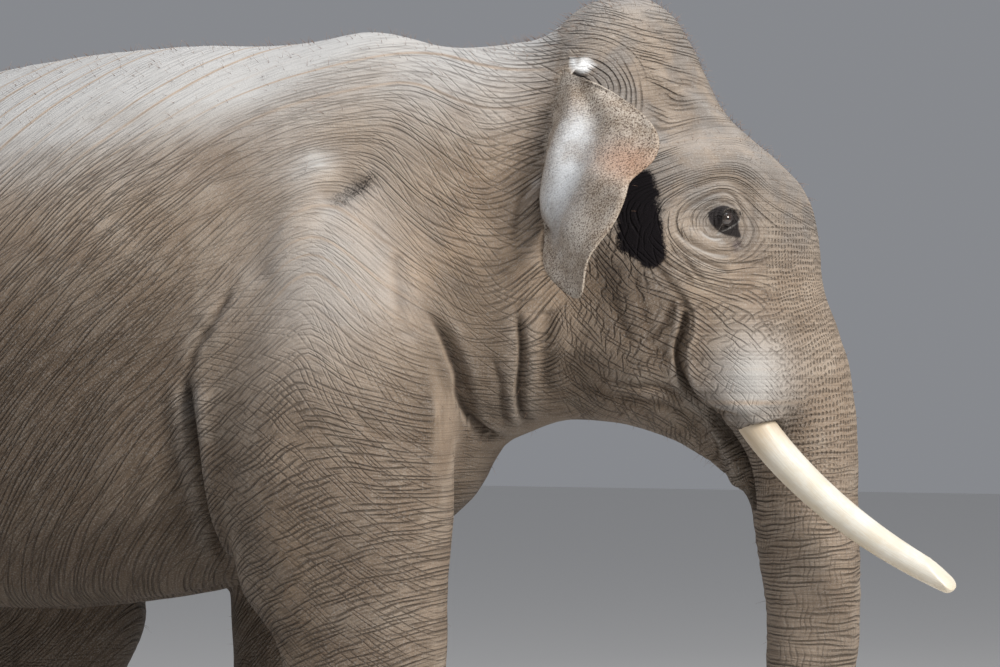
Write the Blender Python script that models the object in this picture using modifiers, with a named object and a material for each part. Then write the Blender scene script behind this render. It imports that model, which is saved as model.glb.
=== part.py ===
"""A bull Asian elephant at life size, standing in mid-stride with its head turned a little.

The flesh is modelled whole.  Lofts of the barrel, neck, skull, trunk and limbs are fused,
eased, pressed into shape, thinned to flat facets and parted with thin cuts.  Ears, eyes,
tusks, toenails and the tail are solids of their own.  Metres; x forward, y to the animal's
left, z up, and the origin ends on the floor under the middle of the whole animal.
"""
import math

import bmesh
import bpy
import numpy as np
from mathutils import Matrix, Vector

# ---------------------------------------------------------------- driving dimensions
HEAD_TURN = math.radians(12.0)   # the head looks this far to the animal's left
TURN_PIVOT = (0.50, 0.0)         # x, y of the upright axis that the neck bends about
TURN_START = 0.30                # x where the bend begins
TURN_END = 0.85                  # x where the whole turn is reached

FUSE_GRID = 0.024                # cell of the grid that fuses the lofts
EASE_ROUNDS = 14                 # rounds of easing over the joins
FLESH_FACETS = 4350              # triangles of the whole flesh after thinning
CUT_GAP = 0.0006                 # width of the cuts between neighbours
RIM_STEPS = (0.040, 0.025, 0.012)   # points round a cut closer than this are merged
FLAT_REACH = 0.0004              # a point this near a flat of the cutter lies on it
SEAT_GAP = 0.0005                # clearance round eyes, tusks, ears and nails

EYE_RADIUS = 0.021
EYE_SEAT = (1.132, 0.318, 2.294)    # centre of the left eye, head frame
LEG_Y = 0.36                     # legs' tracks, from the middle plane
SOLE_BELOW = 0.05                # the legs' lofts run this far past the floor, then are cut

TUSK_ROOT = (1.218, 0.226, 1.738)   # where the left tusk leaves its socket, head frame
TUSK_LONG = 0.640                # what shows of the right tusk, along its curve
TUSK_SHORT = 0.24                # the left one is broken off and worn
TUSK_DIP = (55.0, 26.0)          # its slope below level, degrees, at the root and at the tip
TUSK_SPREAD = 0.30               # sideways run for each metre forwards
TUSK_ROOT_RADIUS = 0.047
TUSK_TIP_RADIUS = 0.030
TUSK_SEATED = 0.13               # length held in the socket
TUSK_AROUND = 11                 # facets round a tusk

EAR_THICK = 0.013
EAR_EASE_ROUNDS = 12             # how far the inside of an ear ignores its margin's dents
EAR_BOW = 0.075                  # how far an ear's back bulges behind the line root to margin
RING = 28                        # points round a loft of the body

# Barrel, from the chest back: x, top, bottom, half width, height of the widest line.
BARREL = (
    (0.52, 2.56, 1.78, 0.20, 2.15),
    (0.42, 2.72, 1.54, 0.33, 2.06),
    (0.22, 2.815, 1.40, 0.45, 2.00),
    (-0.08, 2.80, 1.325, 0.56, 1.98),
    (-0.40, 2.812, 1.24, 0.66, 1.97),
    (-0.80, 2.780, 1.195, 0.725, 1.94),
    (-1.15, 2.712, 1.195, 0.735, 1.92),
    (-1.50, 2.600, 1.29, 0.69, 1.93),
    (-1.80, 2.440, 1.46, 0.60, 1.93),
    (-2.04, 2.240, 1.64, 0.43, 1.93),
    (-2.18, 2.060, 1.80, 0.22, 1.93),
)

# Neck, from inside the chest to inside the skull: the same five measures.
NECK = (
    (0.05, 2.780, 1.60, 0.42, 2.14),
    (0.30, 2.792, 1.62, 0.425, 2.15),
    (0.50, 2.790, 1.68, 0.405, 2.18),
    (0.68, 2.820, 1.75, 0.365, 2.22),
    (0.86, 2.800, 1.84, 0.310, 2.28),
)

# Skull, from the dome down, head frame: z, back, front, half width, taper to the front.
SKULL = (
    (2.900, 0.790, 0.935, 0.130, 0.10),
    (2.865, 0.720, 0.985, 0.215, 0.12),
    (2.800, 0.660, 1.030, 0.280, 0.15),
    (2.700, 0.620, 1.085, 0.325, 0.20),
    (2.570, 0.600, 1.155, 0.352, 0.24),
    (2.450, 0.600, 1.285, 0.368, 0.30),
    (2.350, 0.600, 1.355, 0.380, 0.34),
    (2.230, 0.600, 1.362, 0.390, 0.37),
    (2.100, 0.600, 1.360, 0.392, 0.40),
    (1.980, 0.610, 1.350, 0.378, 0.42),
    (1.890, 0.630, 1.290, 0.345, 0.42),
    (1.810, 0.670, 1.180, 0.285, 0.40),
    (1.750, 0.720, 1.060, 0.190, 0.35),
)

# Trunk, along its middle line, head frame: x, z, half depth, half width.
TRUNK = (
    (1.150, 2.330, 0.205, 0.200),
    (1.172, 2.200, 0.205, 0.212),
    (1.190, 2.060, 0.207, 0.215),
    (1.245, 1.940, 0.204, 0.205),
    (1.296, 1.830, 0.183, 0.190),
    (1.326, 1.700, 0.160, 0.175),
    (1.340, 1.530, 0.151, 0.163),
    (1.360, 1.256, 0.132, 0.146),
    (1.356, 1.070, 0.123, 0.136),
    (1.345, 0.850, 0.112, 0.123),
    (1.325, 0.610, 0.099, 0.108),
    (1.298, 0.400, 0.086, 0.094),
    (1.258, 0.255, 0.077, 0.084),
    (1.190, 0.160, 0.071, 0.077),
    (1.110, 0.128, 0.066, 0.072),
    (1.040, 0.130, 0.058, 0.066),
)

# Lower jaw, from the throat to the lip, head frame: x, z, half depth, half width.
JAW = (
    (0.740, 1.960, 0.170, 0.235),
    (0.880, 1.870, 0.140, 0.215),
    (1.000, 1.795, 0.105, 0.150),
    (1.085, 1.715, 0.072, 0.095),
    (1.140, 1.630, 0.044, 0.062),
    (1.172, 1.572, 0.024, 0.036),
)

# Socket that holds a tusk, head frame, left side: x, y, z, radius.
SHEATH = (
    (1.030, 0.140, 2.320, 0.110),
    (1.095, 0.175, 2.140, 0.146),
    (1.145, 0.198, 1.975, 0.152),
    (1.190, 0.212, 1.865, 0.140),
    (1.225, 0.222, 1.795, 0.112),
    (1.240, 0.228, 1.755, 0.070),
)

# Free margin of the left ear from its top round to the foot of its root, head frame.
EAR_MARGIN = (
    (0.775, 0.400, 2.657),
    (0.841, 0.475, 2.614),
    (0.926, 0.560, 2.552),
    (0.964, 0.610, 2.495),
    (0.949, 0.640, 2.445),
    (0.903, 0.650, 2.391),
    (0.891, 0.690, 2.343),
    (0.856, 0.705, 2.262),
    (0.800, 0.695, 2.176),
    (0.772, 0.660, 2.086),
    (0.726, 0.600, 2.099),
    (0.670, 0.500, 2.166),
    (0.664, 0.400, 2.284),
)
EAR_ROOT_TOP = (0.700, 0.290, 2.690)
EAR_ROOT_FOOT = (0.680, 0.350, 2.320)

# Foreleg, from the shoulder blade down: z, half length, half width, distance from the middle.
FORELEG = (
    (2.52, 0.120, 0.110, 0.250),
    (2.30, 0.215, 0.190, 0.310),
    (2.05, 0.300, 0.240, 0.352),
    (1.85, 0.340, 0.262, 0.370),
    (1.65, 0.338, 0.266, 0.378),
    (1.45, 0.312, 0.252, 0.378),
    (1.30, 0.274, 0.228, 0.371),
    (1.17, 0.232, 0.207, 0.366),
    (1.00, 0.208, 0.190, 0.363),
    (0.80, 0.186, 0.174, 0.360),
    (0.62, 0.173, 0.166, LEG_Y),
    (0.46, 0.171, 0.165, LEG_Y),
    (0.30, 0.184, 0.176, LEG_Y),
    (0.15, 0.212, 0.198, LEG_Y),
    (0.04, 0.226, 0.208, LEG_Y),
    (-SOLE_BELOW, 0.226, 0.208, LEG_Y),
)

# Hind leg, from the hip down: the same four measures.
HINDLEG = (
    (2.30, 0.200, 0.130, 0.300),
    (2.05, 0.330, 0.245, 0.360),
    (1.80, 0.375, 0.270, 0.370),
    (1.55, 0.355, 0.262, 0.372),
    (1.35, 0.318, 0.240, 0.370),
    (1.18, 0.282, 0.215, 0.366),
    (1.00, 0.228, 0.186, 0.363),
    (0.80, 0.186, 0.164, 0.360),
    (0.60, 0.161, 0.150, LEG_Y),
    (0.44, 0.156, 0.147, LEG_Y),
    (0.28, 0.173, 0.157, LEG_Y),
    (0.14, 0.200, 0.174, LEG_Y),
    (0.04, 0.213, 0.184, LEG_Y),
    (-SOLE_BELOW, 0.213, 0.184, LEG_Y),
)

# Where each leg's middle line runs: z, x, from the top down.
STRIDE = {
    "foreleg_right": ((2.52, 0.12), (2.05, 0.155), (1.65, 0.160), (1.30, 0.192), (1.17, 0.236),
                      (0.80, 0.246), (0.46, 0.242), (0.15, 0.256), (-SOLE_BELOW, 0.262)),
    "foreleg_left": ((2.52, 0.10), (2.05, 0.085), (1.65, -0.02), (1.30, -0.160), (1.17, -0.212),
                     (0.80, -0.250), (0.46, -0.285), (0.15, -0.290), (-SOLE_BELOW, -0.284)),
    "hindleg_right": ((2.30, -1.78), (1.80, -1.72), (1.35, -1.66), (1.00, -1.70), (0.60, -1.86),
                      (0.44, -1.93), (0.28, -1.955), (0.14, -1.935), (-SOLE_BELOW, -1.920)),
    "hindleg_left": ((2.30, -1.76), (1.80, -1.60), (1.35, -1.19), (1.18, -1.025), (1.00, -1.030),
                     (0.60, -1.125), (0.28, -1.120), (0.14, -1.095), (-SOLE_BELOW, -1.080)),
}

# Tail, along its middle line: x, z, half depth, half width.
TAIL = (
    (-1.960, 2.215, 0.100, 0.130),
    (-2.120, 2.165, 0.086, 0.105),
    (-2.240, 2.040, 0.072, 0.082),
    (-2.300, 1.850, 0.056, 0.062),
    (-2.318, 1.600, 0.042, 0.046),
    (-2.314, 1.350, 0.034, 0.036),
    (-2.300, 1.120, 0.027, 0.028),
    (-2.290, 0.980, 0.021, 0.022),
)

# Hair at the end of the tail, one flat tapering lock: x, z, half depth, half width.
TUFT = (
    (-2.2895, 0.975, 0.040, 0.018),
    (-2.286, 0.900, 0.058, 0.022),
    (-2.280, 0.800, 0.052, 0.020),
    (-2.272, 0.700, 0.036, 0.015),
    (-2.266, 0.640, 0.014, 0.008),
)

# Full and hollow places of the head, left side and mirrored: centre, spread, rise (+) or dip.
HEAD_FORMS = (
    ((0.985, 0.285, 2.620), (0.100, 0.120, 0.090), -0.055),   # temple hollow
    ((0.900, 0.340, 2.420), (0.110, 0.120, 0.090), -0.012),   # behind the eye
    ((1.150, 0.250, 2.440), (0.075, 0.090, 0.040), 0.022),    # brow
    ((1.240, 0.175, 2.430), (0.080, 0.060, 0.050), 0.012),    # brow, inner end
    ((1.105, 0.290, 2.300), (0.060, 0.060, 0.045), -0.012),   # eye socket
    ((1.060, 0.330, 2.190), (0.070, 0.080, 0.040), 0.010),    # bag under the eye
    ((0.830, 0.370, 2.060), (0.160, 0.120, 0.170), 0.026),    # cheek
    ((1.010, 0.310, 2.000), (0.040, 0.120, 0.120), -0.030),   # crease behind the socket
    ((1.090, 0.250, 1.800), (0.050, 0.100, 0.040), -0.020),   # corner of the mouth
    ((0.720, 0.330, 1.900), (0.070, 0.120, 0.080), -0.014),   # behind the jaw
    ((0.870, 0.180, 2.860), (0.140, 0.080, 0.100), 0.020),    # one of the two domes
    ((1.090, 0.140, 2.640), (0.060, 0.080, 0.080), 0.012),    # ridge from dome to brow
)
HEAD_MIDDLE_FORMS = (
    ((0.880, 0.0, 2.890), (0.240, 0.045, 0.120), -0.024),     # groove between the domes
    ((1.130, 0.0, 2.640), (0.060, 0.090, 0.080), -0.024),     # hollow of the forehead
    ((1.360, 0.0, 2.270), (0.090, 0.140, 0.080), 0.012),      # bulge over the trunk
)
# Full and hollow places of the body, left side and mirrored.
BODY_FORMS = (
    ((0.110, 0.130, 2.840), (0.120, 0.110, 0.090), 0.026),    # top of the shoulder blade
    ((0.215, 0.440, 2.400), (0.070, 0.150, 0.110), -0.020),   # hollow before its spine
    ((0.060, 0.480, 2.380), (0.070, 0.150, 0.150), 0.018),    # spine of the shoulder blade
    ((-0.260, 0.560, 2.300), (0.150, 0.200, 0.250), -0.014),  # behind the shoulder blade
    ((-0.250, 0.520, 1.640), (0.060, 0.160, 0.260), -0.040),  # fold behind the upper arm
    ((-0.060, 0.480, 1.270), (0.070, 0.130, 0.070), 0.022),   # point of the elbow
    ((0.300, 0.600, 1.900), (0.120, 0.120, 0.120), 0.016),    # point of the shoulder
    ((0.470, 0.330, 1.950), (0.060, 0.140, 0.260), -0.022),   # groove of the neck's foot
    ((-1.420, 0.420, 2.480), (0.120, 0.150, 0.110), 0.030),   # hip bone
    ((-1.300, 0.620, 2.150), (0.180, 0.180, 0.180), -0.030),  # flank hollow
    ((-1.950, 0.330, 2.180), (0.180, 0.140, 0.120), -0.018),  # beside the tail's root
)

# Legs: back, front and height of the inner edge of the space that each takes from the trunk.
LEG_SPACES = {"foreleg_right": (-0.21, 0.62, 1.24), "foreleg_left": (-0.56, 0.36, 1.12),
              "hindleg_right": (-2.60, -1.30, 1.24), "hindleg_left": (-1.86, -0.60, 1.12)}
LEG_INNER = 0.08
LEG_REACH = 0.95
LEG_ROOF_SLOPE = 0.62
BELOW_FLOOR = -0.2
FOOT_TOP = {"fore": 0.27, "hind": 0.25}
# Nails: half length and half width of the foot, and their bearings round it, in degrees.
NAIL_RINGS = {"fore": (0.226, 0.208, (-66, -34, 0, 34, 66)),
              "hind": (0.213, 0.184, (-52, -18, 17, 51))}
NAIL_HALF = (0.034, 0.056, 0.050)
NAIL_SHRINK = 0.0027           # for each degree from the front
NAIL_LEAN = -12.0
NAIL_SEATED = 0.016
NAIL_UP = 0.066


# ---------------------------------------------------------------- making meshes
def spline(rows, steps=4):
    """Rows of measures joined by a Catmull-Rom curve, steps rows to each stretch."""
    rows = np.asarray(rows, float)
    ends = np.vstack((2 * rows[0] - rows[1], rows, 2 * rows[-1] - rows[-2]))
    share = np.arange(steps)[:, None] / steps
    pieces = []
    for first in range(len(rows) - 1):
        a, b, c, d = ends[first:first + 4]
        pieces.append(0.5 * (2 * b + (c - a) * share + (2 * a - 5 * b + 4 * c - d) * share ** 2
                             + (3 * b - a - 3 * c + d) * share ** 3))
    return np.vstack(pieces + [rows[-1:]])


def rounded(angle, power):
    """Cosine and sine with their size raised to a power: 1 is an ellipse, less is squarer."""
    cosine, sine = np.cos(angle), np.sin(angle)
    return np.sign(cosine) * np.abs(cosine) ** power, np.sign(sine) * np.abs(sine) ** power


def loft(name, rings):
    """A closed skin over rings of points (rings, points, 3), with a middle point at each end."""
    count, around = rings.shape[:2]
    points = np.vstack((rings.reshape(-1, 3), rings[0].mean(0), rings[-1].mean(0)))
    near = np.arange(around)
    far = (near + 1) % around
    start = np.arange(count - 1)[:, None] * around
    quads = np.stack((start + near, start + far, start + far + around, start + near + around), -1)
    faces = quads.reshape(-1, 4).tolist()
    last = (count - 1) * around
    faces += np.stack((far, near, np.full(around, count * around)), -1).tolist()
    faces += np.stack((last + near, last + far, np.full(around, count * around + 1)), -1).tolist()
    mesh = bpy.data.meshes.new(name)
    mesh.from_pydata(points.tolist(), [], faces)
    return outward(mesh)


def outward(mesh):
    """Turns the faces of a closed mesh outwards."""
    form = bmesh.new()
    form.from_mesh(mesh)
    bmesh.ops.recalc_face_normals(form, faces=form.faces)
    if form.calc_volume(signed=True) < 0:
        bmesh.ops.reverse_faces(form, faces=form.faces)
    form.to_mesh(mesh)
    form.free()
    return mesh


def body_rings(rows, roof=0.92, keel=0.94):
    """Upright rings of x, top, bottom, half width and widest height; roof and keel shape them."""
    angle = np.linspace(0, 2 * np.pi, RING, endpoint=False)
    rings = []
    for x, top, bottom, half, belt in spline(rows):
        power = np.where(np.sin(angle) > 0, roof, keel)
        cosine, sine = rounded(angle, power)
        height = np.where(sine > 0, top - belt, belt - bottom)
        rings.append(np.stack((np.full(RING, x), half * cosine, belt + height * sine), -1))
    return np.array(rings)


def skull_rings():
    """Level rings of the skull; each narrows towards the face by its taper."""
    angle = np.linspace(0, 2 * np.pi, RING, endpoint=False)
    rings = []
    for z, back, front, half, taper in spline(SKULL):
        cosine, sine = rounded(angle, 0.85)
        narrowed = 1 - taper * np.clip(cosine, 0, 1) ** 1.2
        x = (back + front) / 2 + (front - back) / 2 * cosine
        rings.append(np.stack((x, half * sine * narrowed, np.full(RING, z)), -1))
    return np.array(rings)


def path_rings(rows, around=RING, power=1.0, steps=4):
    """Rings square to a path in the middle plane: x, z, half depth, half width."""
    rows = spline(rows, steps)
    along = np.gradient(rows[:, :2], axis=0)
    along /= np.linalg.norm(along, axis=1)[:, None]
    angle = np.linspace(0, 2 * np.pi, around, endpoint=False)
    cosine, sine = rounded(angle, power)
    x = rows[:, 0, None] - along[:, 1, None] * rows[:, 2, None] * cosine
    z = rows[:, 1, None] + along[:, 0, None] * rows[:, 2, None] * cosine
    return np.stack((x, rows[:, 3, None] * sine, z), -1)


def leg_rings(rows, middle, side):
    """Level rings of a leg: rows of z, half length, half width, track; middle gives x by z."""
    rows = spline(rows)
    line = spline(middle, 8)
    order = np.argsort(line[:, 0])
    centre = np.interp(rows[:, 0], line[order, 0], line[order, 1])
    angle = np.linspace(0, 2 * np.pi, RING, endpoint=False)
    cosine, sine = rounded(angle, 0.92)
    x = centre[:, None] + rows[:, 1, None] * cosine
    y = side * (rows[:, 3, None] + rows[:, 2, None] * sine)
    return np.stack((x, y, np.broadcast_to(rows[:, 0, None], x.shape)), -1)


def free_rings(centres, radii, around):
    """Round rings square to any path of points in space."""
    along = np.gradient(centres, axis=0)
    along /= np.linalg.norm(along, axis=1)[:, None]
    across = np.cross(along, (0.0, 1.0, 0.0))
    across /= np.linalg.norm(across, axis=1)[:, None]
    third = np.cross(along, across)
    angle = np.linspace(0, 2 * np.pi, around, endpoint=False)[None, :, None]
    swing = across[:, None] * np.cos(angle) + third[:, None] * np.sin(angle)
    return centres[:, None] + radii[:, None, None] * swing


def turned(points):
    """The neck's bend: points swing about the upright pivot, by x, up to the whole turn."""
    share = np.clip((points[..., 0] - TURN_START) / (TURN_END - TURN_START), 0, 1)
    angle = HEAD_TURN * share ** 2 * (3 - 2 * share)
    x, y = points[..., 0] - TURN_PIVOT[0], points[..., 1] - TURN_PIVOT[1]
    cosine, sine = np.cos(angle), np.sin(angle)
    return np.stack((TURN_PIVOT[0] + x * cosine - y * sine,
                     TURN_PIVOT[1] + x * sine + y * cosine, points[..., 2]), -1)


def head_place():
    """The turn of the head as a matrix, for solids made in the head's own frame."""
    pivot = Vector((TURN_PIVOT[0], TURN_PIVOT[1], 0.0))
    return (Matrix.Translation(pivot) @ Matrix.Rotation(HEAD_TURN, 4, "Z")
            @ Matrix.Translation(-pivot))


def unturned(points):
    """World points in the head's own frame."""
    back = np.array(head_place().inverted())
    return points @ back[:3, :3].T + back[:3, 3]


# ---------------------------------------------------------------- scene keeping
def add_object(name, mesh, collection):
    """A new object of the mesh, in the collection."""
    item = bpy.data.objects.new(name, mesh)
    collection.objects.link(item)
    return item


def evaluated(item):
    """The item's mesh with its modifiers carried out, as a mesh of its own."""
    graph = bpy.context.evaluated_depsgraph_get()
    return bpy.data.meshes.new_from_object(item.evaluated_get(graph))


def carry_out(item):
    """Carries out the item's modifiers on its mesh."""
    mesh = evaluated(item)
    item.modifiers.clear()
    item.data = mesh
    return item


def boolean(item, cutter, operation, solver="EXACT"):
    """Carries out one Boolean on the item's mesh."""
    cut = item.modifiers.new("cut", "BOOLEAN")
    cut.operation = operation
    cut.object = cutter
    cut.solver = solver
    return carry_out(item)


def points_of(mesh):
    """The mesh's points as an array."""
    points = np.empty(len(mesh.vertices) * 3)
    mesh.vertices.foreach_get("co", points)
    return points.reshape(-1, 3)


def set_points(mesh, points):
    """Puts an array of points back into the mesh."""
    mesh.vertices.foreach_set("co", points.ravel())
    mesh.update()


def normals_of(mesh):
    """The mesh's point normals as an array."""
    normals = np.empty(len(mesh.vertices) * 3)
    mesh.vertex_normals.foreach_get("vector", normals)
    return normals.reshape(-1, 3)


def keep_largest(mesh):
    """Leaves only the largest of the mesh's separate bodies."""
    form = bmesh.new()
    form.from_mesh(mesh)
    unseen = set(form.verts)
    bodies = []
    while unseen:
        body = {unseen.pop()}
        edge_of_body = list(body)
        while edge_of_body:
            point = edge_of_body.pop()
            for edge in point.link_edges:
                other = edge.other_vert(point)
                if other in unseen:
                    unseen.discard(other)
                    body.add(other)
                    edge_of_body.append(other)
        bodies.append(body)
    bodies.sort(key=len)
    for body in bodies[:-1]:
        bmesh.ops.delete(form, geom=list(body), context="VERTS")
    form.to_mesh(mesh)
    form.free()


# ---------------------------------------------------------------- the flesh
def flesh_lofts():
    """Every loft of the flesh, by name."""
    lofts = {
        "barrel": loft("barrel", body_rings(BARREL)),
        "neck": loft("neck", turned(body_rings(NECK, roof=0.98))),
        "skull": loft("skull", turned(skull_rings())),
        "trunk": loft("trunk", turned(path_rings(TRUNK, power=0.95))),
        "jaw": loft("jaw", turned(path_rings(JAW))),
    }
    for side, word in ((1, "left"), (-1, "right")):
        sheath = spline(SHEATH) * (1, side, 1, 1)
        lofts["sheath_" + word] = loft("sheath", turned(
            free_rings(sheath[:, :3], sheath[:, 3], 20)))
        for rows, kind in ((FORELEG, "foreleg_"), (HINDLEG, "hindleg_")):
            rings = leg_rings(rows, STRIDE[kind + word], side)
            lofts[kind + word] = loft(kind + word, rings)
    return lofts


def fused(meshes, collection):
    """One even mesh over all the lofts together."""
    form = bmesh.new()
    for mesh in meshes:
        form.from_mesh(mesh)
        bpy.data.meshes.remove(mesh)
    whole = bpy.data.meshes.new("flesh")
    form.to_mesh(whole)
    form.free()
    flesh = add_object("flesh", whole, collection)
    grid = flesh.modifiers.new("fuse", "REMESH")
    grid.mode = "VOXEL"
    grid.voxel_size = FUSE_GRID
    carry_out(flesh)
    keep_largest(flesh.data)
    return flesh


def ease(mesh):
    """Rounds the joins: each point moves towards its neighbours' mean, least on thin parts."""
    points = points_of(mesh)
    edges = np.empty(len(mesh.edges) * 2, np.int64)
    mesh.edges.foreach_get("vertices", edges)
    first, second = edges.reshape(-1, 2).T
    share = np.bincount(edges, minlength=len(points))[:, None]
    head = unturned(points)
    hold_trunk = np.clip((head[:, 0] - 0.95) / 0.3, 0, 1) * np.clip((1.9 - head[:, 2]) / 0.2, 0, 1)
    hold_foot = np.clip((0.9 - points[:, 2]) / 0.4, 0, 1)
    softness = 0.5 * (1 - 0.85 * np.maximum(hold_trunk, hold_foot))[:, None]
    for _ in range(EASE_ROUNDS):
        total = np.stack([np.bincount(first, points[second, axis], len(points))
                          + np.bincount(second, points[first, axis], len(points))
                          for axis in range(3)], -1)
        points = points + softness * (total / share - points)
    set_points(mesh, points)


def press(points, normals, forms, sides):
    """Moves points along their normals by a sum of rounded rises and dips."""
    move = np.zeros(len(points))
    for centre, spread, rise in forms:
        for side in sides:
            offset = (points - np.array(centre) * (1, side, 1)) / np.array(spread)
            move += rise * np.exp(-0.5 * (offset ** 2).sum(1))
    return points + normals * move[:, None]


def shape(mesh):
    """Gives the eased flesh its bones, hollows and folds."""
    normals = normals_of(mesh)
    points = press(points_of(mesh), normals, BODY_FORMS, (1, -1))
    turn = np.array(head_place())[:3, :3]
    head = unturned(points)
    near_head = np.clip((head[:, 0] - 0.45) / 0.15, 0, 1)[:, None]
    shaped = press(head, normals @ turn, HEAD_FORMS, (1, -1))
    shaped = press(shaped, normals @ turn, HEAD_MIDDLE_FORMS, (1,))
    points = points + near_head * ((shaped - head) @ turn.T)
    set_points(mesh, points)


def thin(flesh):
    """Reduces the flesh to flat facets and cuts the four soles level with the floor."""
    flesh.modifiers.new("facets", "TRIANGULATE")
    carry_out(flesh)
    fewer = flesh.modifiers.new("thin", "DECIMATE")
    fewer.ratio = FLESH_FACETS / len(flesh.data.polygons)
    carry_out(flesh)
    form = bmesh.new()
    form.from_mesh(flesh.data)
    cut = bmesh.ops.bisect_plane(form, geom=form.verts[:] + form.edges[:] + form.faces[:],
                                 plane_co=(0, 0, 0), plane_no=(0, 0, -1), clear_outer=True)
    rim = [item for item in cut["geom_cut"] if isinstance(item, bmesh.types.BMEdge)]
    bmesh.ops.contextual_create(form, geom=rim)
    bmesh.ops.holes_fill(form, edges=form.edges, sides=0)
    bmesh.ops.triangulate(form, faces=form.faces)
    form.to_mesh(flesh.data)
    form.free()
    outward(flesh.data)


# ---------------------------------------------------------------- partings
def prism(name, outline, low, high, collection, axis="y", in_head=False):
    """A cutter: an outline in x, z carried along y, or in y, z carried along x."""
    if axis == "y":
        rings = [[(a, end, b) for a, b in outline] for end in (low, high)]
    else:
        rings = [[(end, a, b) for a, b in outline] for end in (low, high)]
    mesh = loft(name, np.array(rings, float))
    if in_head:
        mesh.transform(head_place())
    cutter = add_object(name, mesh, collection)
    cutter.display_type = "WIRE"
    cutter.hide_render = True
    return cutter


def grown(cutter, amount, collection):
    """A copy of a cutter, larger by the amount on every side."""
    form = bmesh.new()
    form.from_mesh(cutter.data)
    bmesh.ops.dissolve_limit(form, angle_limit=0.01, verts=form.verts, edges=form.edges)
    form.normal_update()
    places = [offset_corner(point, amount) for point in form.verts]
    for point, place in zip(form.verts, places):
        point.co = place
    mesh = bpy.data.meshes.new("grown")
    form.to_mesh(mesh)
    form.free()
    larger = add_object(cutter.name + "_gap", mesh, collection)
    larger.display_type = "WIRE"
    larger.hide_render = True
    return larger


def offset_corner(point, amount):
    """A corner moved so that each of its faces steps out by the amount."""
    normals = np.array([face.normal for face in point.link_faces])
    step = np.linalg.lstsq(normals, np.full(len(normals), amount), rcond=None)[0]
    return point.co + Vector(step)


def part_off(flesh, name, cutter, parts, cutters):
    """Moves what lies inside the cutter into a node of its own, and leaves a thin gap."""
    piece = add_object(name, flesh.data.copy(), parts)
    before = point_keys(flesh.data)
    boolean(piece, cutter, "INTERSECT")
    wider = grown(cutter, CUT_GAP, cutters)
    boolean(flesh, wider, "DIFFERENCE")
    for item, tool in ((piece, cutter), (flesh, wider)):
        keep_largest(item.data)
        simplify_rim(item.data, before, tool.data)
    return piece


def point_keys(mesh):
    """The mesh's points as a set of rounded triples."""
    return {tuple(point) for point in np.round(points_of(mesh), 6).tolist()}


def simplify_rim(mesh, before, tool):
    """Merges close-set new points on each flat of the tool, if the mesh stays closed.

    Points on two flats at once are corners of the cut, and stay.
    """
    flats = {tuple(np.round((*face.normal, face.normal.dot(face.center)), 4))
             for face in tool.polygons}
    for step in RIM_STEPS:
        form = bmesh.new()
        form.from_mesh(mesh)
        rims = {flat: [] for flat in flats}
        for point in form.verts:
            if tuple(round(value, 6) for value in point.co) in before:
                continue
            on = [flat for flat in flats
                  if abs(np.dot(flat[:3], point.co) - flat[3]) < FLAT_REACH]
            if len(on) == 1:
                rims[on[0]].append(point)
        for rim in rims.values():
            bmesh.ops.remove_doubles(form, verts=[point for point in rim if point.is_valid],
                                     dist=step)
        bmesh.ops.dissolve_degenerate(form, dist=1e-5, edges=form.edges)
        bmesh.ops.triangulate(form, faces=form.faces)
        closed = all(edge.is_manifold and edge.is_contiguous for edge in form.edges)
        if closed:
            form.to_mesh(mesh)
        form.free()
        if closed:
            return


def wedge(side, inner_y, inner_z):
    """Outline in y, z of the space that holds a leg: its roof rises outwards."""
    top = inner_z + LEG_ROOF_SLOPE * (LEG_REACH - inner_y)
    return [(side * inner_y, BELOW_FLOOR), (side * inner_y, inner_z), (side * LEG_REACH, top),
            (side * LEG_REACH, BELOW_FLOOR)]


def leg_partings(cutters):
    """Cutters of the feet and legs, by node name."""
    found = {}
    for name, (back, front, inner_z) in LEG_SPACES.items():
        side = 1 if name.endswith("left") else -1
        foot = name.replace("leg", "foot")
        top = FOOT_TOP[name[:4]]
        box = [(side * 0.02, BELOW_FLOOR), (side * 0.02, top), (side * LEG_REACH, top),
               (side * LEG_REACH, BELOW_FLOOR)]
        found[foot] = prism(foot + "_cut", box, back - 0.3, front + 0.3, cutters, "x")
        found[name] = prism(name + "_cut", wedge(side, LEG_INNER, inner_z), back, front, cutters, "x")
    return found


def head_partings(cutters):
    """Cutters of the trunk's lengths, the jaw, the head and the neck, by node name."""
    outlines = {
        "trunk_tip": ((0.90, -0.3), (0.90, 0.30), (1.60, 0.36), (1.60, -0.3)),
        "trunk_lower": ((1.00, 0.2), (1.00, 0.80), (1.70, 0.80), (1.70, 0.2)),
        "trunk_middle": ((1.00, 0.7), (1.00, 1.24), (1.70, 1.24), (1.70, 0.7)),
        "trunk_upper": ((1.199, 1.1), (1.180, 1.69), (1.70, 1.69), (1.70, 1.1)),
        "lower_jaw": ((0.735, 1.2), (0.735, 1.815), (1.190, 1.695), (1.199, 1.2)),
        "head": ((0.640, 1.4), (0.600, 3.2), (1.90, 3.2), (1.90, 1.4)),
    }
    found = {name: prism(name + "_cut", outline, -0.9, 0.9, cutters, in_head=True)
             for name, outline in outlines.items()}
    neck = ((0.545, 1.4), (0.320, 3.2), (1.60, 3.2), (1.60, 1.4))
    found["neck"] = prism("neck_cut", neck, -0.9, 0.9, cutters)
    return found


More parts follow.
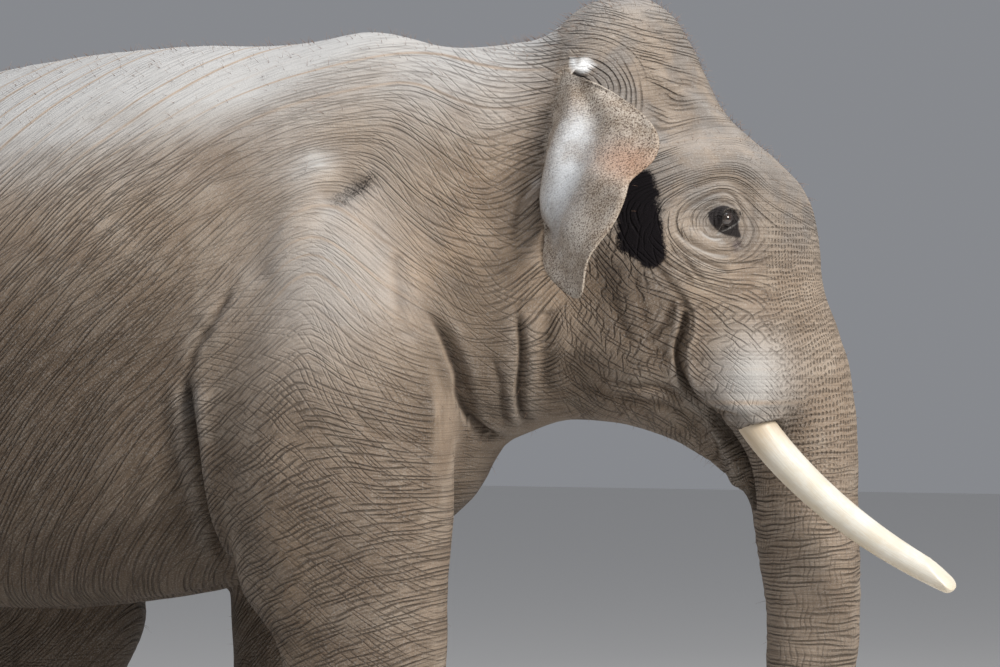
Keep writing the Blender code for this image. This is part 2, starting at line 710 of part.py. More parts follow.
# ---------------------------------------------------------------- solids of their own
def tusk_line(side, shown):
    """Middle line and radii of a tusk, head frame: an arc that runs forwards, out and down."""
    length = np.linspace(-TUSK_SEATED, shown, 11)
    share = np.clip(length / TUSK_LONG, 0, 1)
    dip = np.radians(TUSK_DIP[0] + (TUSK_DIP[1] - TUSK_DIP[0]) * share ** 0.8)
    step = np.diff(length, prepend=length[0])
    forward = np.cumsum(np.cos(dip) * step)
    down = np.cumsum(np.sin(dip) * step)
    forward -= np.interp(0, length, forward)
    down -= np.interp(0, length, down)
    root_x, root_y, root_z = TUSK_ROOT
    centres = np.stack((root_x + forward, side * (root_y + TUSK_SPREAD * forward),
                        root_z - down), -1)
    radii = TUSK_ROOT_RADIUS + (TUSK_TIP_RADIUS - TUSK_ROOT_RADIUS) * share ** 1.4
    return centres, radii


def tusk_mesh(side, shown, extra=0.0):
    """A tusk, its end rounded over; extra grows it for cutting its socket."""
    centres, radii = tusk_line(side, shown)
    tip = centres[-1] - centres[-2]
    tip /= np.linalg.norm(tip)
    ends = [centres[-1] + tip * radii[-1] * 0.50, centres[-1] + tip * radii[-1] * 0.72]
    back = (centres[0] - centres[1]) / np.linalg.norm(centres[0] - centres[1])
    centres[0] += back * extra
    centres = np.vstack((centres, ends))
    radii = np.append(radii, (radii[-1] * 0.80, radii[-1] * 0.42)) + extra
    return loft("tusk", turned_rigid(free_rings(centres, radii, TUSK_AROUND)))


def ear_grid(side, across=5):
    """Middle surface of an ear: from the root line to the free margin, bowed backwards.

    Inside, the surface follows an eased margin; the margin's own dents only show near it.
    """
    margin = spline(EAR_MARGIN, 2)
    eased = margin.copy()
    for _ in range(EAR_EASE_ROUNDS):
        eased[1:-1] += (eased[2:] + eased[:-2] - 2 * eased[1:-1]) / 2
    v = np.linspace(0, 1, len(margin))[:, None]
    root = (np.array(EAR_ROOT_TOP) * (1 - v) + np.array(EAR_ROOT_FOOT) * v)[:, None]
    u = np.linspace(0, 1, across)[None, :, None]
    blade = root * (1 - u) + eased[:, None] * u + (margin - eased)[:, None] * u ** 3
    fullness = np.sin(np.pi * np.clip(v * 1.05, 0, 1))
    blade[..., 0] -= EAR_BOW * fullness * np.sin(np.pi * u[..., 0] ** 0.8)
    return blade * (1, side, 1)


def ear_mesh(side):
    """An ear: its middle surface given a wall that thins towards the margin."""
    middle = ear_grid(side)
    down = np.gradient(middle, axis=0)
    across = np.gradient(middle, axis=1)
    square = np.cross(down, across)
    square /= np.linalg.norm(square, axis=2)[..., None]
    share = np.linspace(0, 1, middle.shape[1])[None, :, None]
    half = EAR_THICK / 2 * (1.25 - 0.75 * share)
    rings = np.concatenate((middle + square * half, (middle - square * half)[:, ::-1]), 1)
    return loft("ear", turned_rigid(rings))


def turned_rigid(points):
    """Points of the head's own frame in the world."""
    place = np.array(head_place())
    return points @ place[:3, :3].T + place[:3, 3]


def fitted(item, flesh, cutters):
    """Cuts the item back to the flesh, with a seat gap."""
    wider = add_object("seat", flesh.data.copy(), cutters)
    set_points(wider.data, points_of(wider.data) + SEAT_GAP * normals_of(wider.data))
    boolean(item, wider, "DIFFERENCE", "MANIFOLD")   # EXACT leaves nothing of a thin ear
    keep_largest(item.data)
    bpy.data.objects.remove(wider)
    return item


def eye_mesh(side, radius):
    """An eyeball in the head's own frame."""
    form = bmesh.new()
    bmesh.ops.create_uvsphere(form, u_segments=10, v_segments=7, radius=radius)
    x, y, z = EYE_SEAT
    bmesh.ops.translate(form, verts=form.verts, vec=(x, side * y, z))
    mesh = bpy.data.meshes.new("eye")
    form.to_mesh(mesh)
    form.free()
    mesh.transform(head_place())
    return mesh


def seat(head, mesh, cutters):
    """Cuts the room for a seated solid out of the head."""
    cutter = add_object("socket", mesh, cutters)
    boolean(head, cutter, "DIFFERENCE")
    keep_largest(head.data)
    bpy.data.objects.remove(cutter)


def nail_mesh(bearing, place):
    """One nail: a small ellipsoid leaning back, smaller towards the foot's sides."""
    size = 1.0 - NAIL_SHRINK * abs(bearing)
    depth, width, height = NAIL_HALF
    form = bmesh.new()
    bmesh.ops.create_uvsphere(form, u_segments=8, v_segments=5, radius=1.0)
    mesh = bpy.data.meshes.new("nail")
    form.to_mesh(mesh)
    form.free()
    mesh.transform(Matrix.Diagonal((depth, width * size, height * size, 1.0)))
    mesh.transform(Matrix.Rotation(math.radians(NAIL_LEAN), 4, "Y"))
    mesh.transform(Matrix.Rotation(math.radians(bearing), 4, "Z"))
    mesh.transform(Matrix.Translation(place))
    return outward(mesh)


def toenails(parts, cutters, feet):
    """Nails round the front of each foot: five on a forefoot and four on a hind one."""
    for name, foot in feet.items():
        half_long, half_wide, bearings = NAIL_RINGS[name[:4]]
        corners = points_of(foot.data)
        middle = (corners.min(0) + corners.max(0)) / 2
        for number, bearing in enumerate(bearings, 1):
            turn = math.radians(bearing)
            place = (middle[0] + (half_long - NAIL_SEATED) * math.cos(turn),
                     middle[1] + (half_wide - NAIL_SEATED) * math.sin(turn), NAIL_UP)
            order = number if name.endswith("left") else len(bearings) + 1 - number
            node = "toenail_" + name.replace("foot", "") + "_" + str(order)
            nail = add_object(node, nail_mesh(bearing, place), parts)
            fitted(nail, foot, cutters)


def finish(name, colour, roughness):
    """A Principled material."""
    material = bpy.data.materials.new(name)
    material.use_nodes = True
    shader = material.node_tree.nodes["Principled BSDF"]
    shader.inputs["Base Color"].default_value = (*colour, 1.0)
    shader.inputs["Roughness"].default_value = roughness
    shader.inputs["Metallic"].default_value = 0.0
    return material


FINISHES = {
    "skin": ((0.225, 0.175, 0.140), 0.75),
    "ear": ((0.330, 0.245, 0.195), 0.72),
    "ivory": ((0.780, 0.690, 0.520), 0.35),
    "eye": ((0.030, 0.018, 0.012), 0.10),
    "nail": ((0.420, 0.360, 0.290), 0.50),
    "hair": ((0.030, 0.022, 0.018), 0.60),
}


def finish_of(name):
    """The kind of surface a node has."""
    for word, kind in (("ear_", "ear"), ("tusk_", "ivory"), ("eye_", "eye"),
                       ("toenail_", "nail"), ("tail_tuft", "hair")):
        if name.startswith(word):
            return kind
    return "skin"


def settle(parts):
    """Moves the whole animal so that the origin is on the floor under its middle."""
    corners = np.vstack([points_of(item.data)[[*extremes(item)]] for item in parts.objects])
    low, high = corners.min(0), corners.max(0)
    shift = Matrix.Translation((-(low[0] + high[0]) / 2, -(low[1] + high[1]) / 2, -low[2]))
    for item in parts.objects:
        item.data.transform(shift)
        item.data.shade_smooth()
        item.data.set_sharp_from_angle(angle=math.radians(30))


def extremes(item):
    """Indices of the item's outermost points along the three axes."""
    points = points_of(item.data)
    return (*points.argmin(0), *points.argmax(0))


def main():
    """Builds the whole animal."""
    for item in list(bpy.data.objects):
        bpy.data.objects.remove(item)
    parts = bpy.data.collections.new("elephant")
    cutters = bpy.data.collections.new("cutters")
    for collection in (parts, cutters):
        bpy.context.scene.collection.children.link(collection)

    flesh = fused(flesh_lofts().values(), parts)
    ease(flesh.data)
    shape(flesh.data)
    thin(flesh)

    for side, word in ((1, "left"), (-1, "right")):
        fitted(add_object("ear_" + word, ear_mesh(side), parts), flesh, cutters)
    tail = add_object("tail", loft("tail", path_rings(TAIL, around=10, steps=2)), parts)
    fitted(tail, flesh, cutters)
    add_object("tail_tuft", loft("tuft", path_rings(TUFT, around=10, steps=2)), parts)

    nodes = {}
    for name, cutter in {**head_partings(cutters), **leg_partings(cutters)}.items():
        nodes[name] = part_off(flesh, name, cutter, parts, cutters)
    flesh.name = "torso"

    for side, word, shown in ((1, "left", TUSK_SHORT), (-1, "right", TUSK_LONG)):
        for host in ("head", "trunk_upper", "lower_jaw"):
            seat(nodes[host], tusk_mesh(side, shown, SEAT_GAP), cutters)
        add_object("tusk_" + word, tusk_mesh(side, shown), parts)
        seat(nodes["head"], eye_mesh(side, EYE_RADIUS + SEAT_GAP), cutters)
        add_object("eye_" + word, eye_mesh(side, EYE_RADIUS), parts)
    toenails(parts, cutters, {name: nodes[name] for name in nodes if "foot" in name})

    settle(parts)
    finishes = {name: finish(name, *look) for name, look in FINISHES.items()}
    for item in parts.objects:
        item.data.materials.clear()
        item.data.materials.append(finishes[finish_of(item.name)])


main()
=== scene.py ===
"""An adult bull Asian elephant, life size and at rest: skin, eyes, tusks, nails and hair.

The skin is one closed shell over all the flesh. It is worked out in arrays: the solids of the flesh
are fused and eased, the ears and the tail are joined on, and folds, lids and toes are then pressed in.
"""
import math

import bpy
import numpy as np
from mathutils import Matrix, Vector


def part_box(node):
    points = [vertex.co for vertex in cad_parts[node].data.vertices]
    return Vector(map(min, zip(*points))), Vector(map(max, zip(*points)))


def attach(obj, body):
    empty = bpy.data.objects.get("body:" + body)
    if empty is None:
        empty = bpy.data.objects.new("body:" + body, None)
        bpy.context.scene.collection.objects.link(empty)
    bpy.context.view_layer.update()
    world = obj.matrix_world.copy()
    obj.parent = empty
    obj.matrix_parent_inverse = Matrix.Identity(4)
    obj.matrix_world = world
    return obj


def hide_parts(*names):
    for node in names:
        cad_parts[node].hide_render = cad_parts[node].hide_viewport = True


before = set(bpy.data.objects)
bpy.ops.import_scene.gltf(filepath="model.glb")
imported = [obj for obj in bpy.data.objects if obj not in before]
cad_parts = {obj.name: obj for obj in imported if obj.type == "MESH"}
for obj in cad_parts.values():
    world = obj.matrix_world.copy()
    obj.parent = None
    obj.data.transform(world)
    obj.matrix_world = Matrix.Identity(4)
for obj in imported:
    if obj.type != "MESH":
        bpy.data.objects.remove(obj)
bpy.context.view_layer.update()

# ---------------------------------------------------------------- the frame's own places
SEPARATE = ("eye_", "tusk_", "toenail_", "tail_tuft")
FLESH = sorted(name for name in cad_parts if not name.startswith(SEPARATE))
SIDES = {"left": 1.0, "right": -1.0}


def middle_of(node):
    """Centre of a node's box."""
    low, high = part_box(node)
    return (np.array(low) + np.array(high)) / 2


EYE_AT = {side: middle_of("eye_" + side) for side in SIDES}
EYE_RADIUS = (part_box("eye_left")[1][2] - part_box("eye_left")[0][2]) / 2
BETWEEN_EYES = (EYE_AT["left"] + EYE_AT["right"]) / 2
TO_LEFT = (EYE_AT["left"] - EYE_AT["right"]) / np.linalg.norm(EYE_AT["left"] - EYE_AT["right"])
AHEAD = np.cross(TO_LEFT, (0.0, 0.0, 1.0))
EYE_OUT = np.linalg.norm(EYE_AT["left"] - EYE_AT["right"]) / 2
WITHERS_TO_PIVOT = 0.500       # the neck turns about an upright line this far before the withers
PIVOT_TO_EYES = 0.632
WITHERS = BETWEEN_EYES - PIVOT_TO_EYES * AHEAD - (WITHERS_TO_PIVOT, 0.0, BETWEEN_EYES[2])
HEAD_AXES = np.stack((AHEAD, TO_LEFT, (0.0, 0.0, 1.0)))


def in_head(points):
    """Places seen from between the eyes: ahead, to the left, up."""
    return (points - BETWEEN_EYES) @ HEAD_AXES.T


def from_head(places):
    """Places given from between the eyes, in the world."""
    return np.asarray(places) @ HEAD_AXES + BETWEEN_EYES


def in_body(points):
    """Places seen from the floor under the withers: ahead, to the left, up."""
    return points - WITHERS


# ---------------------------------------------------------------- the skin's make
FUSE_GRID = 0.0295             # cell of the grid that fuses the flesh
PUFF = 0.0007                  # closes the cuts between the solids
EASE_ROUNDS = 34               # takes the facets off
HEAD_EDGE = 0.0322             # longest edge on head, neck and trunk
FEET_EDGE = 0.030
LID_EDGE = 0.0023              # longest edge on the eyelids
AROUND_EYE_EDGE = 0.0050
BODY_EDGE = 0.0500             # longest edge elsewhere

# Colours of hide, lids and ears, and of the light and shade painted on them.
SKIN_MAIN = (0.262, 0.205, 0.156)
SKIN_DEEP = (0.190, 0.141, 0.102)
SKIN_PALE = (0.345, 0.292, 0.238)
SKIN_TAN = (0.320, 0.212, 0.125)
SKIN_GREY = (0.165, 0.150, 0.138)
# painted shade of undersides, belly, jaw, neck's foot and flank; the darker cheek takes it too
SKIN_SHADE_BELOW = (0.064, 0.044, 0.029)
# painted highlight on hide that faces up, on the sheath, shoulder and back, and on convex bends; pale
# specks of grit use it too
SKIN_LIT = (0.400, 0.390, 0.378)
# furrows' floors: dirt in them, and painted shade
SKIN_FURROW = (0.042, 0.030, 0.022)
SKIN_SHADE = (0.030, 0.021, 0.016)
# near-black painted shade in the hollows by the temple and before the shoulder and in the slit at the
# ear's top; the stain below the ear takes it too
SKIN_SHADE_AND_STAIN = (0.004, 0.003, 0.004)
# dark bare lid margin, also painted shade over the lid's edge
LID_DARK = (0.012, 0.010, 0.011)
TEAR_STAIN = (0.075, 0.060, 0.062)
EAR_MAIN = (0.250, 0.196, 0.146)
EAR_PALE = (0.450, 0.400, 0.345)
EAR_PINK = (0.385, 0.225, 0.150)
EAR_DOT = (0.075, 0.048, 0.036)
# painted highlight where the bulge along the ear faces the sky
EAR_SKY_HIGHLIGHT = (0.640, 0.680, 0.725)
EAR_WHITE = (0.860, 0.870, 0.880)

# Metres from one furrow of the hide to the next.
LINE_GAP = 0.0108              # along the body's lie
CROSS_GAP = 0.0104             # across it
STREAK_GAP = 0.0520            # deep folds, far apart
HOOP_GAP = 0.0125              # round legs, trunk and tail
HOOP_CROSS_GAP = 0.0110
FACE_GAP = 0.0084
FACE_CROSS_GAP = 0.0088
ARC_GAP = 0.0145               # round the ear's top
PIT_GAP = (0.0165, 0.0098)     # between the pits before the eyes: up and round
HIDE_DEPTH = 0.0052            # full depth of the hide's relief

# Tusks, from between the eyes: place where the left one leaves its socket.
TUSK_ROOT = (0.086, 0.226, -0.556)
TUSK_SHOWN = {"right": 0.640, "left": 0.240}
TUSK_FULL = 0.640
TUSK_DIP = (55.0, 26.0)        # slope below level, degrees, at the root and at the tip
TUSK_SPREAD = 0.30             # sideways run for each metre forwards
TUSK_RADII = (0.0475, 0.0305)
TUSK_SEATED = 0.13

# Free margin of the left ear, from its top round to the foot of its root: ahead, left, up of the eyes.
EAR_MARGIN = (
    (-0.357, 0.400, 0.363), (-0.291, 0.475, 0.320), (-0.206, 0.560, 0.258), (-0.168, 0.610, 0.201),
    (-0.183, 0.640, 0.151), (-0.229, 0.650, 0.097), (-0.241, 0.690, 0.049), (-0.276, 0.705, -0.032),
    (-0.332, 0.695, -0.118), (-0.360, 0.660, -0.208), (-0.406, 0.600, -0.195), (-0.462, 0.500, -0.128),
    (-0.468, 0.400, -0.010),
)
EAR_ROOT_TOP = np.array((-0.432, 0.270, 0.396))
EAR_ROOT_FOOT = np.array((-0.452, 0.330, 0.026))
EAR_BOW = 0.075
EAR_WALL = (0.0085, 0.0032)    # half thickness at the root and at the margin
EAR_STEPS, EAR_COLUMNS = 6, 25

# Slit and white flap at the ear's top: ahead and up of the eyes.
EAR_SLIT = ((-0.440, 0.404), (-0.410, 0.392), (-0.366, 0.372))
EAR_FLAP = ((-0.428, 0.414), (-0.398, 0.428), (-0.366, 0.436), (-0.352, 0.420), (-0.362, 0.390),
            (-0.392, 0.400))

# Tail: ahead of the withers, up, half depth, half width.
TAIL = (
    (-1.880, 2.195, 0.085, 0.110), (-2.010, 2.180, 0.095, 0.118), (-2.120, 2.150, 0.086, 0.104),
    (-2.240, 2.036, 0.072, 0.082), (-2.300, 1.850, 0.056, 0.062), (-2.318, 1.600, 0.042, 0.046),
    (-2.314, 1.350, 0.034, 0.036), (-2.300, 1.120, 0.027, 0.028), (-2.290, 0.975, 0.021, 0.022),
)
# Middle line of the trunk, from the brow to its tip: ahead of the eyes, up.
TRUNK = (
    (0.040, -0.095), (0.060, -0.235), (0.110, -0.355), (0.164, -0.465), (0.194, -0.595),
    (0.208, -0.765), (0.228, -1.040), (0.213, -1.445), (0.193, -1.685), (0.166, -1.895),
    (0.126, -2.040), (0.058, -2.135), (-0.022, -2.167), (-0.100, -2.164),
)

# Opening between the lids, seen from the side: ahead of the eye, up.
LID_OPENING = (
    (-0.0398, 0.0125), (-0.0276, 0.0208), (-0.0117, 0.0264), (0.0031, 0.0208), (0.0115, 0.0055),
    (0.0101, -0.0110), (0.0152, -0.0262), (0.0225, -0.0430), (0.0085, -0.0352), (-0.0044, -0.0284),
    (-0.0230, -0.0168), (-0.0341, -0.0040),
)
# Dark bare margin round it, drawn wide enough to paint shade over the lid's edge.
LID_MARGIN = (
    (-0.0430, 0.0150), (-0.0280, 0.0260), (-0.0080, 0.0330), (0.0130, 0.0290), (0.0320, 0.0100),
    (0.0340, -0.0100), (0.0350, -0.0290), (0.0400, -0.0480), (0.0180, -0.0460), (-0.0050, -0.0400),
    (-0.0260, -0.0240), (-0.0400, -0.0070),
)
EYE_FACING = np.array((0.34, 0.94, 0.04))     # which way the left eye looks, head frame

# Folds (rise below 0) and ridges of the head: path ahead and up of the eyes, width, rise.
FACE_FOLDS = (
    ("upper lid, outer fold", ((-0.131, -0.005), (-0.094, 0.031), (-0.042, 0.062), (-0.006, 0.073),
                               (0.020, 0.064), (0.040, 0.036), (0.052, -0.014)), 0.0065, -0.0078),
    ("upper lid, inner fold", ((-0.090, 0.016), (-0.061, 0.027), (-0.026, 0.048), (-0.006, 0.045),
                               (0.014, 0.036), (0.029, 0.017), (0.037, -0.008)), 0.0042, -0.0042),
    ("upper lid, least fold", ((-0.074, 0.010), (-0.046, 0.022), (-0.022, 0.035), (0.000, 0.037),
                               (0.018, 0.026)), 0.0032, -0.0028),
    ("lower lid, edge", ((-0.052, -0.012), (-0.032, -0.026), (-0.002, -0.039), (0.018, -0.050)),
     0.0050, -0.0028),
    ("bag under the eye, edge", ((-0.132, -0.018), (-0.113, -0.044), (-0.082, -0.067),
                                 (-0.040, -0.086), (-0.008, -0.092), (0.024, -0.094)),
     0.0080, -0.0066),
    ("bag under the eye", ((-0.098, -0.026), (-0.068, -0.048), (-0.026, -0.066), (0.012, -0.070)),
     0.0170, 0.0055),
    ("bag, inner fold", ((-0.060, -0.028), (-0.046, -0.044), (-0.026, -0.051), (-0.006, -0.045)),
     0.0040, -0.0038),
    ("fold below the bag", ((-0.142, -0.038), (-0.114, -0.077), (-0.078, -0.101), (-0.040, -0.118),
                            (-0.008, -0.131), (0.022, -0.142)), 0.0070, -0.0062),
    ("second fold below", ((-0.148, -0.064), (-0.124, -0.091), (-0.101, -0.108), (-0.073, -0.145),
                           (-0.044, -0.180)), 0.0070, -0.0058),
    ("third fold below", ((-0.172, -0.106), (-0.140, -0.126), (-0.105, -0.142), (-0.077, -0.172)),
     0.0070, -0.0046),
    ("lines before the eye", ((0.052, 0.062), (0.070, 0.040), (0.076, 0.006), (0.072, -0.030)),
     0.0080, -0.0036),
    ("corner of the eye", ((0.026, -0.040), (0.034, -0.058), (0.048, -0.080)), 0.0050, -0.0050),
    ("brow", ((-0.120, 0.128), (-0.090, 0.172), (-0.030, 0.196), (0.037, 0.180), (0.084, 0.128),
              (0.110, 0.050), (0.126, -0.040)), 0.0300, 0.0130),
    ("under the brow", ((-0.100, 0.070), (-0.050, 0.100), (0.005, 0.108), (0.050, 0.078),
                        (0.072, 0.030)), 0.0200, -0.0105),
    ("ridge from dome to brow", ((-0.228, 0.420), (-0.150, 0.362), (-0.070, 0.306), (0.006, 0.246),
                                 (0.052, 0.180)), 0.0200, 0.0110),
    ("temple line", ((-0.200, 0.255), (-0.140, 0.232), (-0.060, 0.240)), 0.0250, -0.0060),
    ("cheek crease, upper", ((-0.176, -0.120), (-0.150, -0.160), (-0.124, -0.192), (-0.101, -0.234)),
     0.0100, -0.0090),
    ("cheek crease", ((-0.104, -0.222), (-0.103, -0.262), (-0.112, -0.300), (-0.124, -0.349),
                      (-0.117, -0.407), (-0.095, -0.456), (-0.045, -0.500), (0.030, -0.524)),
     0.0100, -0.0260),
    ("small fold on the sheath", ((-0.122, -0.236), (-0.100, -0.230), (-0.085, -0.254),
                                  (-0.088, -0.292), (-0.104, -0.338)), 0.0060, -0.0052),
    ("edge of the sheath", ((-0.082, -0.240), (-0.084, -0.300), (-0.092, -0.350), (-0.086, -0.402),
                            (-0.062, -0.440), (-0.010, -0.478), (0.050, -0.500), (0.110, -0.520)),
     0.0240, 0.0160),
    ("behind the crease", ((-0.127, -0.205), (-0.146, -0.262), (-0.170, -0.300), (-0.200, -0.340)),
     0.0090, -0.0100),
    ("flap behind the crease", ((-0.124, -0.228), (-0.132, -0.272), (-0.146, -0.318),
                                (-0.148, -0.372)), 0.0130, 0.0080),
    ("mouth corner fold", ((-0.330, -0.425), (-0.260, -0.448), (-0.190, -0.446), (-0.120, -0.468)),
     0.0100, -0.0060),
    ("lower mouth fold", ((-0.300, -0.470), (-0.220, -0.488), (-0.150, -0.505), (-0.090, -0.530)),
     0.0110, -0.0070),
    ("mouth", ((-0.060, -0.490), (-0.015, -0.554), (0.028, -0.622), (0.049, -0.677), (0.058, -0.747),
               (0.060, -0.800)), 0.0125, -0.0340),
    ("lower lip", ((-0.060, -0.548), (-0.020, -0.600), (0.010, -0.660), (0.030, -0.730)),
     0.0200, 0.0120),
    ("lip fold", ((-0.050, -0.560), (-0.028, -0.600), (-0.030, -0.635), (-0.052, -0.650)),
     0.0060, -0.0060),
    ("jaw fold", ((-0.420, -0.440), (-0.340, -0.462), (-0.250, -0.500), (-0.180, -0.540)),
     0.0150, -0.0060),
    ("cheek fold", ((-0.235, -0.120), (-0.225, -0.200), (-0.200, -0.280), (-0.190, -0.350)),
     0.0120, -0.0045),
    ("second cheek fold", ((-0.300, -0.190), (-0.280, -0.260), (-0.245, -0.330)), 0.0120, -0.0040),
    ("behind the jaw", ((-0.455, -0.230), (-0.473, -0.320), (-0.480, -0.400), (-0.490, -0.470)),
     0.0180, -0.0120),
    ("behind the ear", ((-0.452, 0.040), (-0.470, -0.010), (-0.478, -0.080), (-0.470, -0.150)),
     0.0095, -0.0120),
    ("roll behind the ear", ((-0.478, 0.110), (-0.505, 0.040), (-0.520, -0.050), (-0.515, -0.150)),
     0.0240, 0.0120),
    ("outer fold behind the ear", ((-0.515, 0.095), (-0.546, 0.020), (-0.560, -0.070)),
     0.0100, -0.0050),
)

# Darker hide from under the ear to the lip, in the colour of the shade painted below: ahead and up of
# the eyes.
CHEEK_MURK = (
    (-0.326, -0.034), (-0.269, -0.113), (-0.170, -0.120), (-0.139, -0.174), (-0.110, -0.213),
    (-0.114, -0.292), (-0.108, -0.402), (-0.070, -0.458), (-0.012, -0.510), (0.028, -0.600),
    (0.058, -0.690), (0.055, -0.760), (-0.014, -0.700), (-0.092, -0.590), (-0.183, -0.476),
    (-0.190, -0.400), (-0.245, -0.340), (-0.310, -0.280), (-0.345, -0.150),
)

# Folds and ridges of the body: path ahead of the withers and up, width, rise.
BODY_FOLDS = (
    ("neck's foot", ((0.426, 2.070), (0.468, 2.003), (0.490, 1.937), (0.502, 1.875), (0.498, 1.814),
                     (0.500, 1.747), (0.540, 1.690), (0.590, 1.660)), 0.0120, -0.0230),
    ("roll before the neck's foot", ((0.500, 2.030), (0.535, 1.950), (0.545, 1.860), (0.540, 1.770)),
     0.0260, 0.0090),
    ("roll behind the neck's foot", ((0.400, 2.000), (0.435, 1.920), (0.450, 1.830), (0.450, 1.740)),
     0.0280, 0.0080),
    ("neck fold", ((0.660, 2.060), (0.664, 1.998), (0.660, 1.942), (0.648, 1.885), (0.630, 1.824),
                   (0.618, 1.768), (0.612, 1.712)), 0.0100, -0.0170),
    ("least neck fold", ((0.585, 1.930), (0.592, 1.860), (0.580, 1.790), (0.566, 1.720)),
     0.0090, -0.0060),
    ("pinch before the shoulder", ((0.362, 2.215), (0.366, 2.180), (0.376, 2.130), (0.388, 2.070),
                                   (0.410, 2.000)), 0.0150, -0.0075),
    ("chest fold", ((0.300, 1.800), (0.340, 1.745), (0.400, 1.716), (0.470, 1.716)), 0.0130, -0.0050),
    ("chest's edge", ((0.476, 1.761), (0.500, 1.690), (0.510, 1.610), (0.490, 1.540)), 0.0160, -0.0090),
    ("behind the upper arm", ((-0.194, 1.892), (-0.194, 1.811), (-0.190, 1.704), (-0.186, 1.567),
                              (-0.192, 1.454), (-0.226, 1.332)), 0.0170, -0.0300),
    ("edge of the upper arm", ((-0.150, 1.880), (-0.150, 1.800), (-0.146, 1.704), (-0.140, 1.567),
                               (-0.140, 1.454), (-0.160, 1.350)), 0.0300, 0.0170),
    ("arm fold's head", ((-0.066, 2.120), (-0.105, 2.040), (-0.160, 1.960), (-0.190, 1.880)),
     0.0120, -0.0110),
    ("second fold behind the arm", ((-0.210, 1.900), (-0.248, 1.800), (-0.262, 1.690), (-0.270, 1.560),
                                    (-0.300, 1.440)), 0.0260, -0.0042),
    ("third fold behind the arm", ((-0.300, 1.860), (-0.346, 1.740), (-0.356, 1.600),
                                   (-0.380, 1.470)), 0.0300, -0.0030),
    ("flank furrow, upper", ((-0.420, 1.900), (-0.320, 2.030), (-0.223, 2.140), (-0.090, 2.250)),
     0.0260, -0.0034),
    ("flank furrow, middle", ((-0.400, 1.820), (-0.280, 1.990), (-0.173, 2.100), (-0.060, 2.190)),
     0.0220, -0.0036),
    ("flank furrow, lower", ((-0.360, 1.760), (-0.250, 1.940), (-0.150, 2.040)), 0.0220, -0.0032),
    ("hollow before the shoulder", ((0.235, 2.420), (0.205, 2.375), (0.150, 2.335)), 0.0420, -0.0150),
    ("spine of the shoulder", ((0.150, 2.450), (0.110, 2.380), (0.075, 2.240), (0.065, 2.080)),
     0.0450, 0.0110),
    ("bulge of the shoulder", ((-0.150, 1.990), (-0.060, 2.060), (0.000, 2.160)), 0.0600, 0.0120),
    ("elbow fold", ((0.010, 1.220), (0.050, 1.165), (0.100, 1.140)), 0.0190, -0.0080),
    ("fold of the belly", ((-0.240, 1.500), (-0.380, 1.430), (-0.620, 1.370), (-0.900, 1.350)),
     0.0380, -0.0060),
    ("flank fold", ((-1.080, 1.520), (-1.150, 1.640), (-1.180, 1.780)), 0.0300, -0.0140),
    ("thigh's front edge", ((-1.140, 1.500), (-1.210, 1.640), (-1.240, 1.800)), 0.0500, 0.0120),
)

# The lie of the body's furrows: ahead of the withers, up, and how steeply they rise forwards, degrees.
GRAIN = (
    (-0.461, 2.600, 40), (-0.572, 2.340, 50), (-0.295, 2.420, 40), (-0.184, 2.340, 48),
    (-0.295, 2.180, 57), (-0.516, 1.945, 57), (-0.100, 2.180, 46), (-0.240, 1.970, 50),
    (-0.461, 1.680, 60), (-0.320, 1.420, 45), (-0.627, 1.420, 58), (-0.073, 1.970, 30),
    (0.038, 2.077, 34), (-0.018, 2.420, 25), (0.176, 2.655, 20), (0.093, 1.890, 28),
    (0.300, 2.077, -55), (0.342, 2.235, -58), (0.328, 2.340, -60), (0.230, 1.890, -36),
    (0.093, 1.680, 25), (0.176, 1.498, 22), (0.370, 1.498, 12), (0.370, 1.735, -15),
    (0.425, 1.866, -35), (0.481, 2.366, -35), (0.564, 2.235, -22), (0.453, 2.077, -48),
    (0.647, 2.392, 20), (0.740, 2.340, 48), (0.564, 1.814, -20), (0.647, 1.945, 8),
    (0.700, 2.077, 50), (0.760, 2.000, 65), (0.453, 2.600, -20), (0.647, 2.630, -8),
    (0.720, 2.540, 0), (-1.000, 2.300, 46), (-1.000, 1.600, 58), (-1.500, 2.250, 30),
    (-1.450, 1.700, 38), (-1.850, 1.900, 20), (0.100, 1.100, 10), (-1.500, 1.100, 12),
)
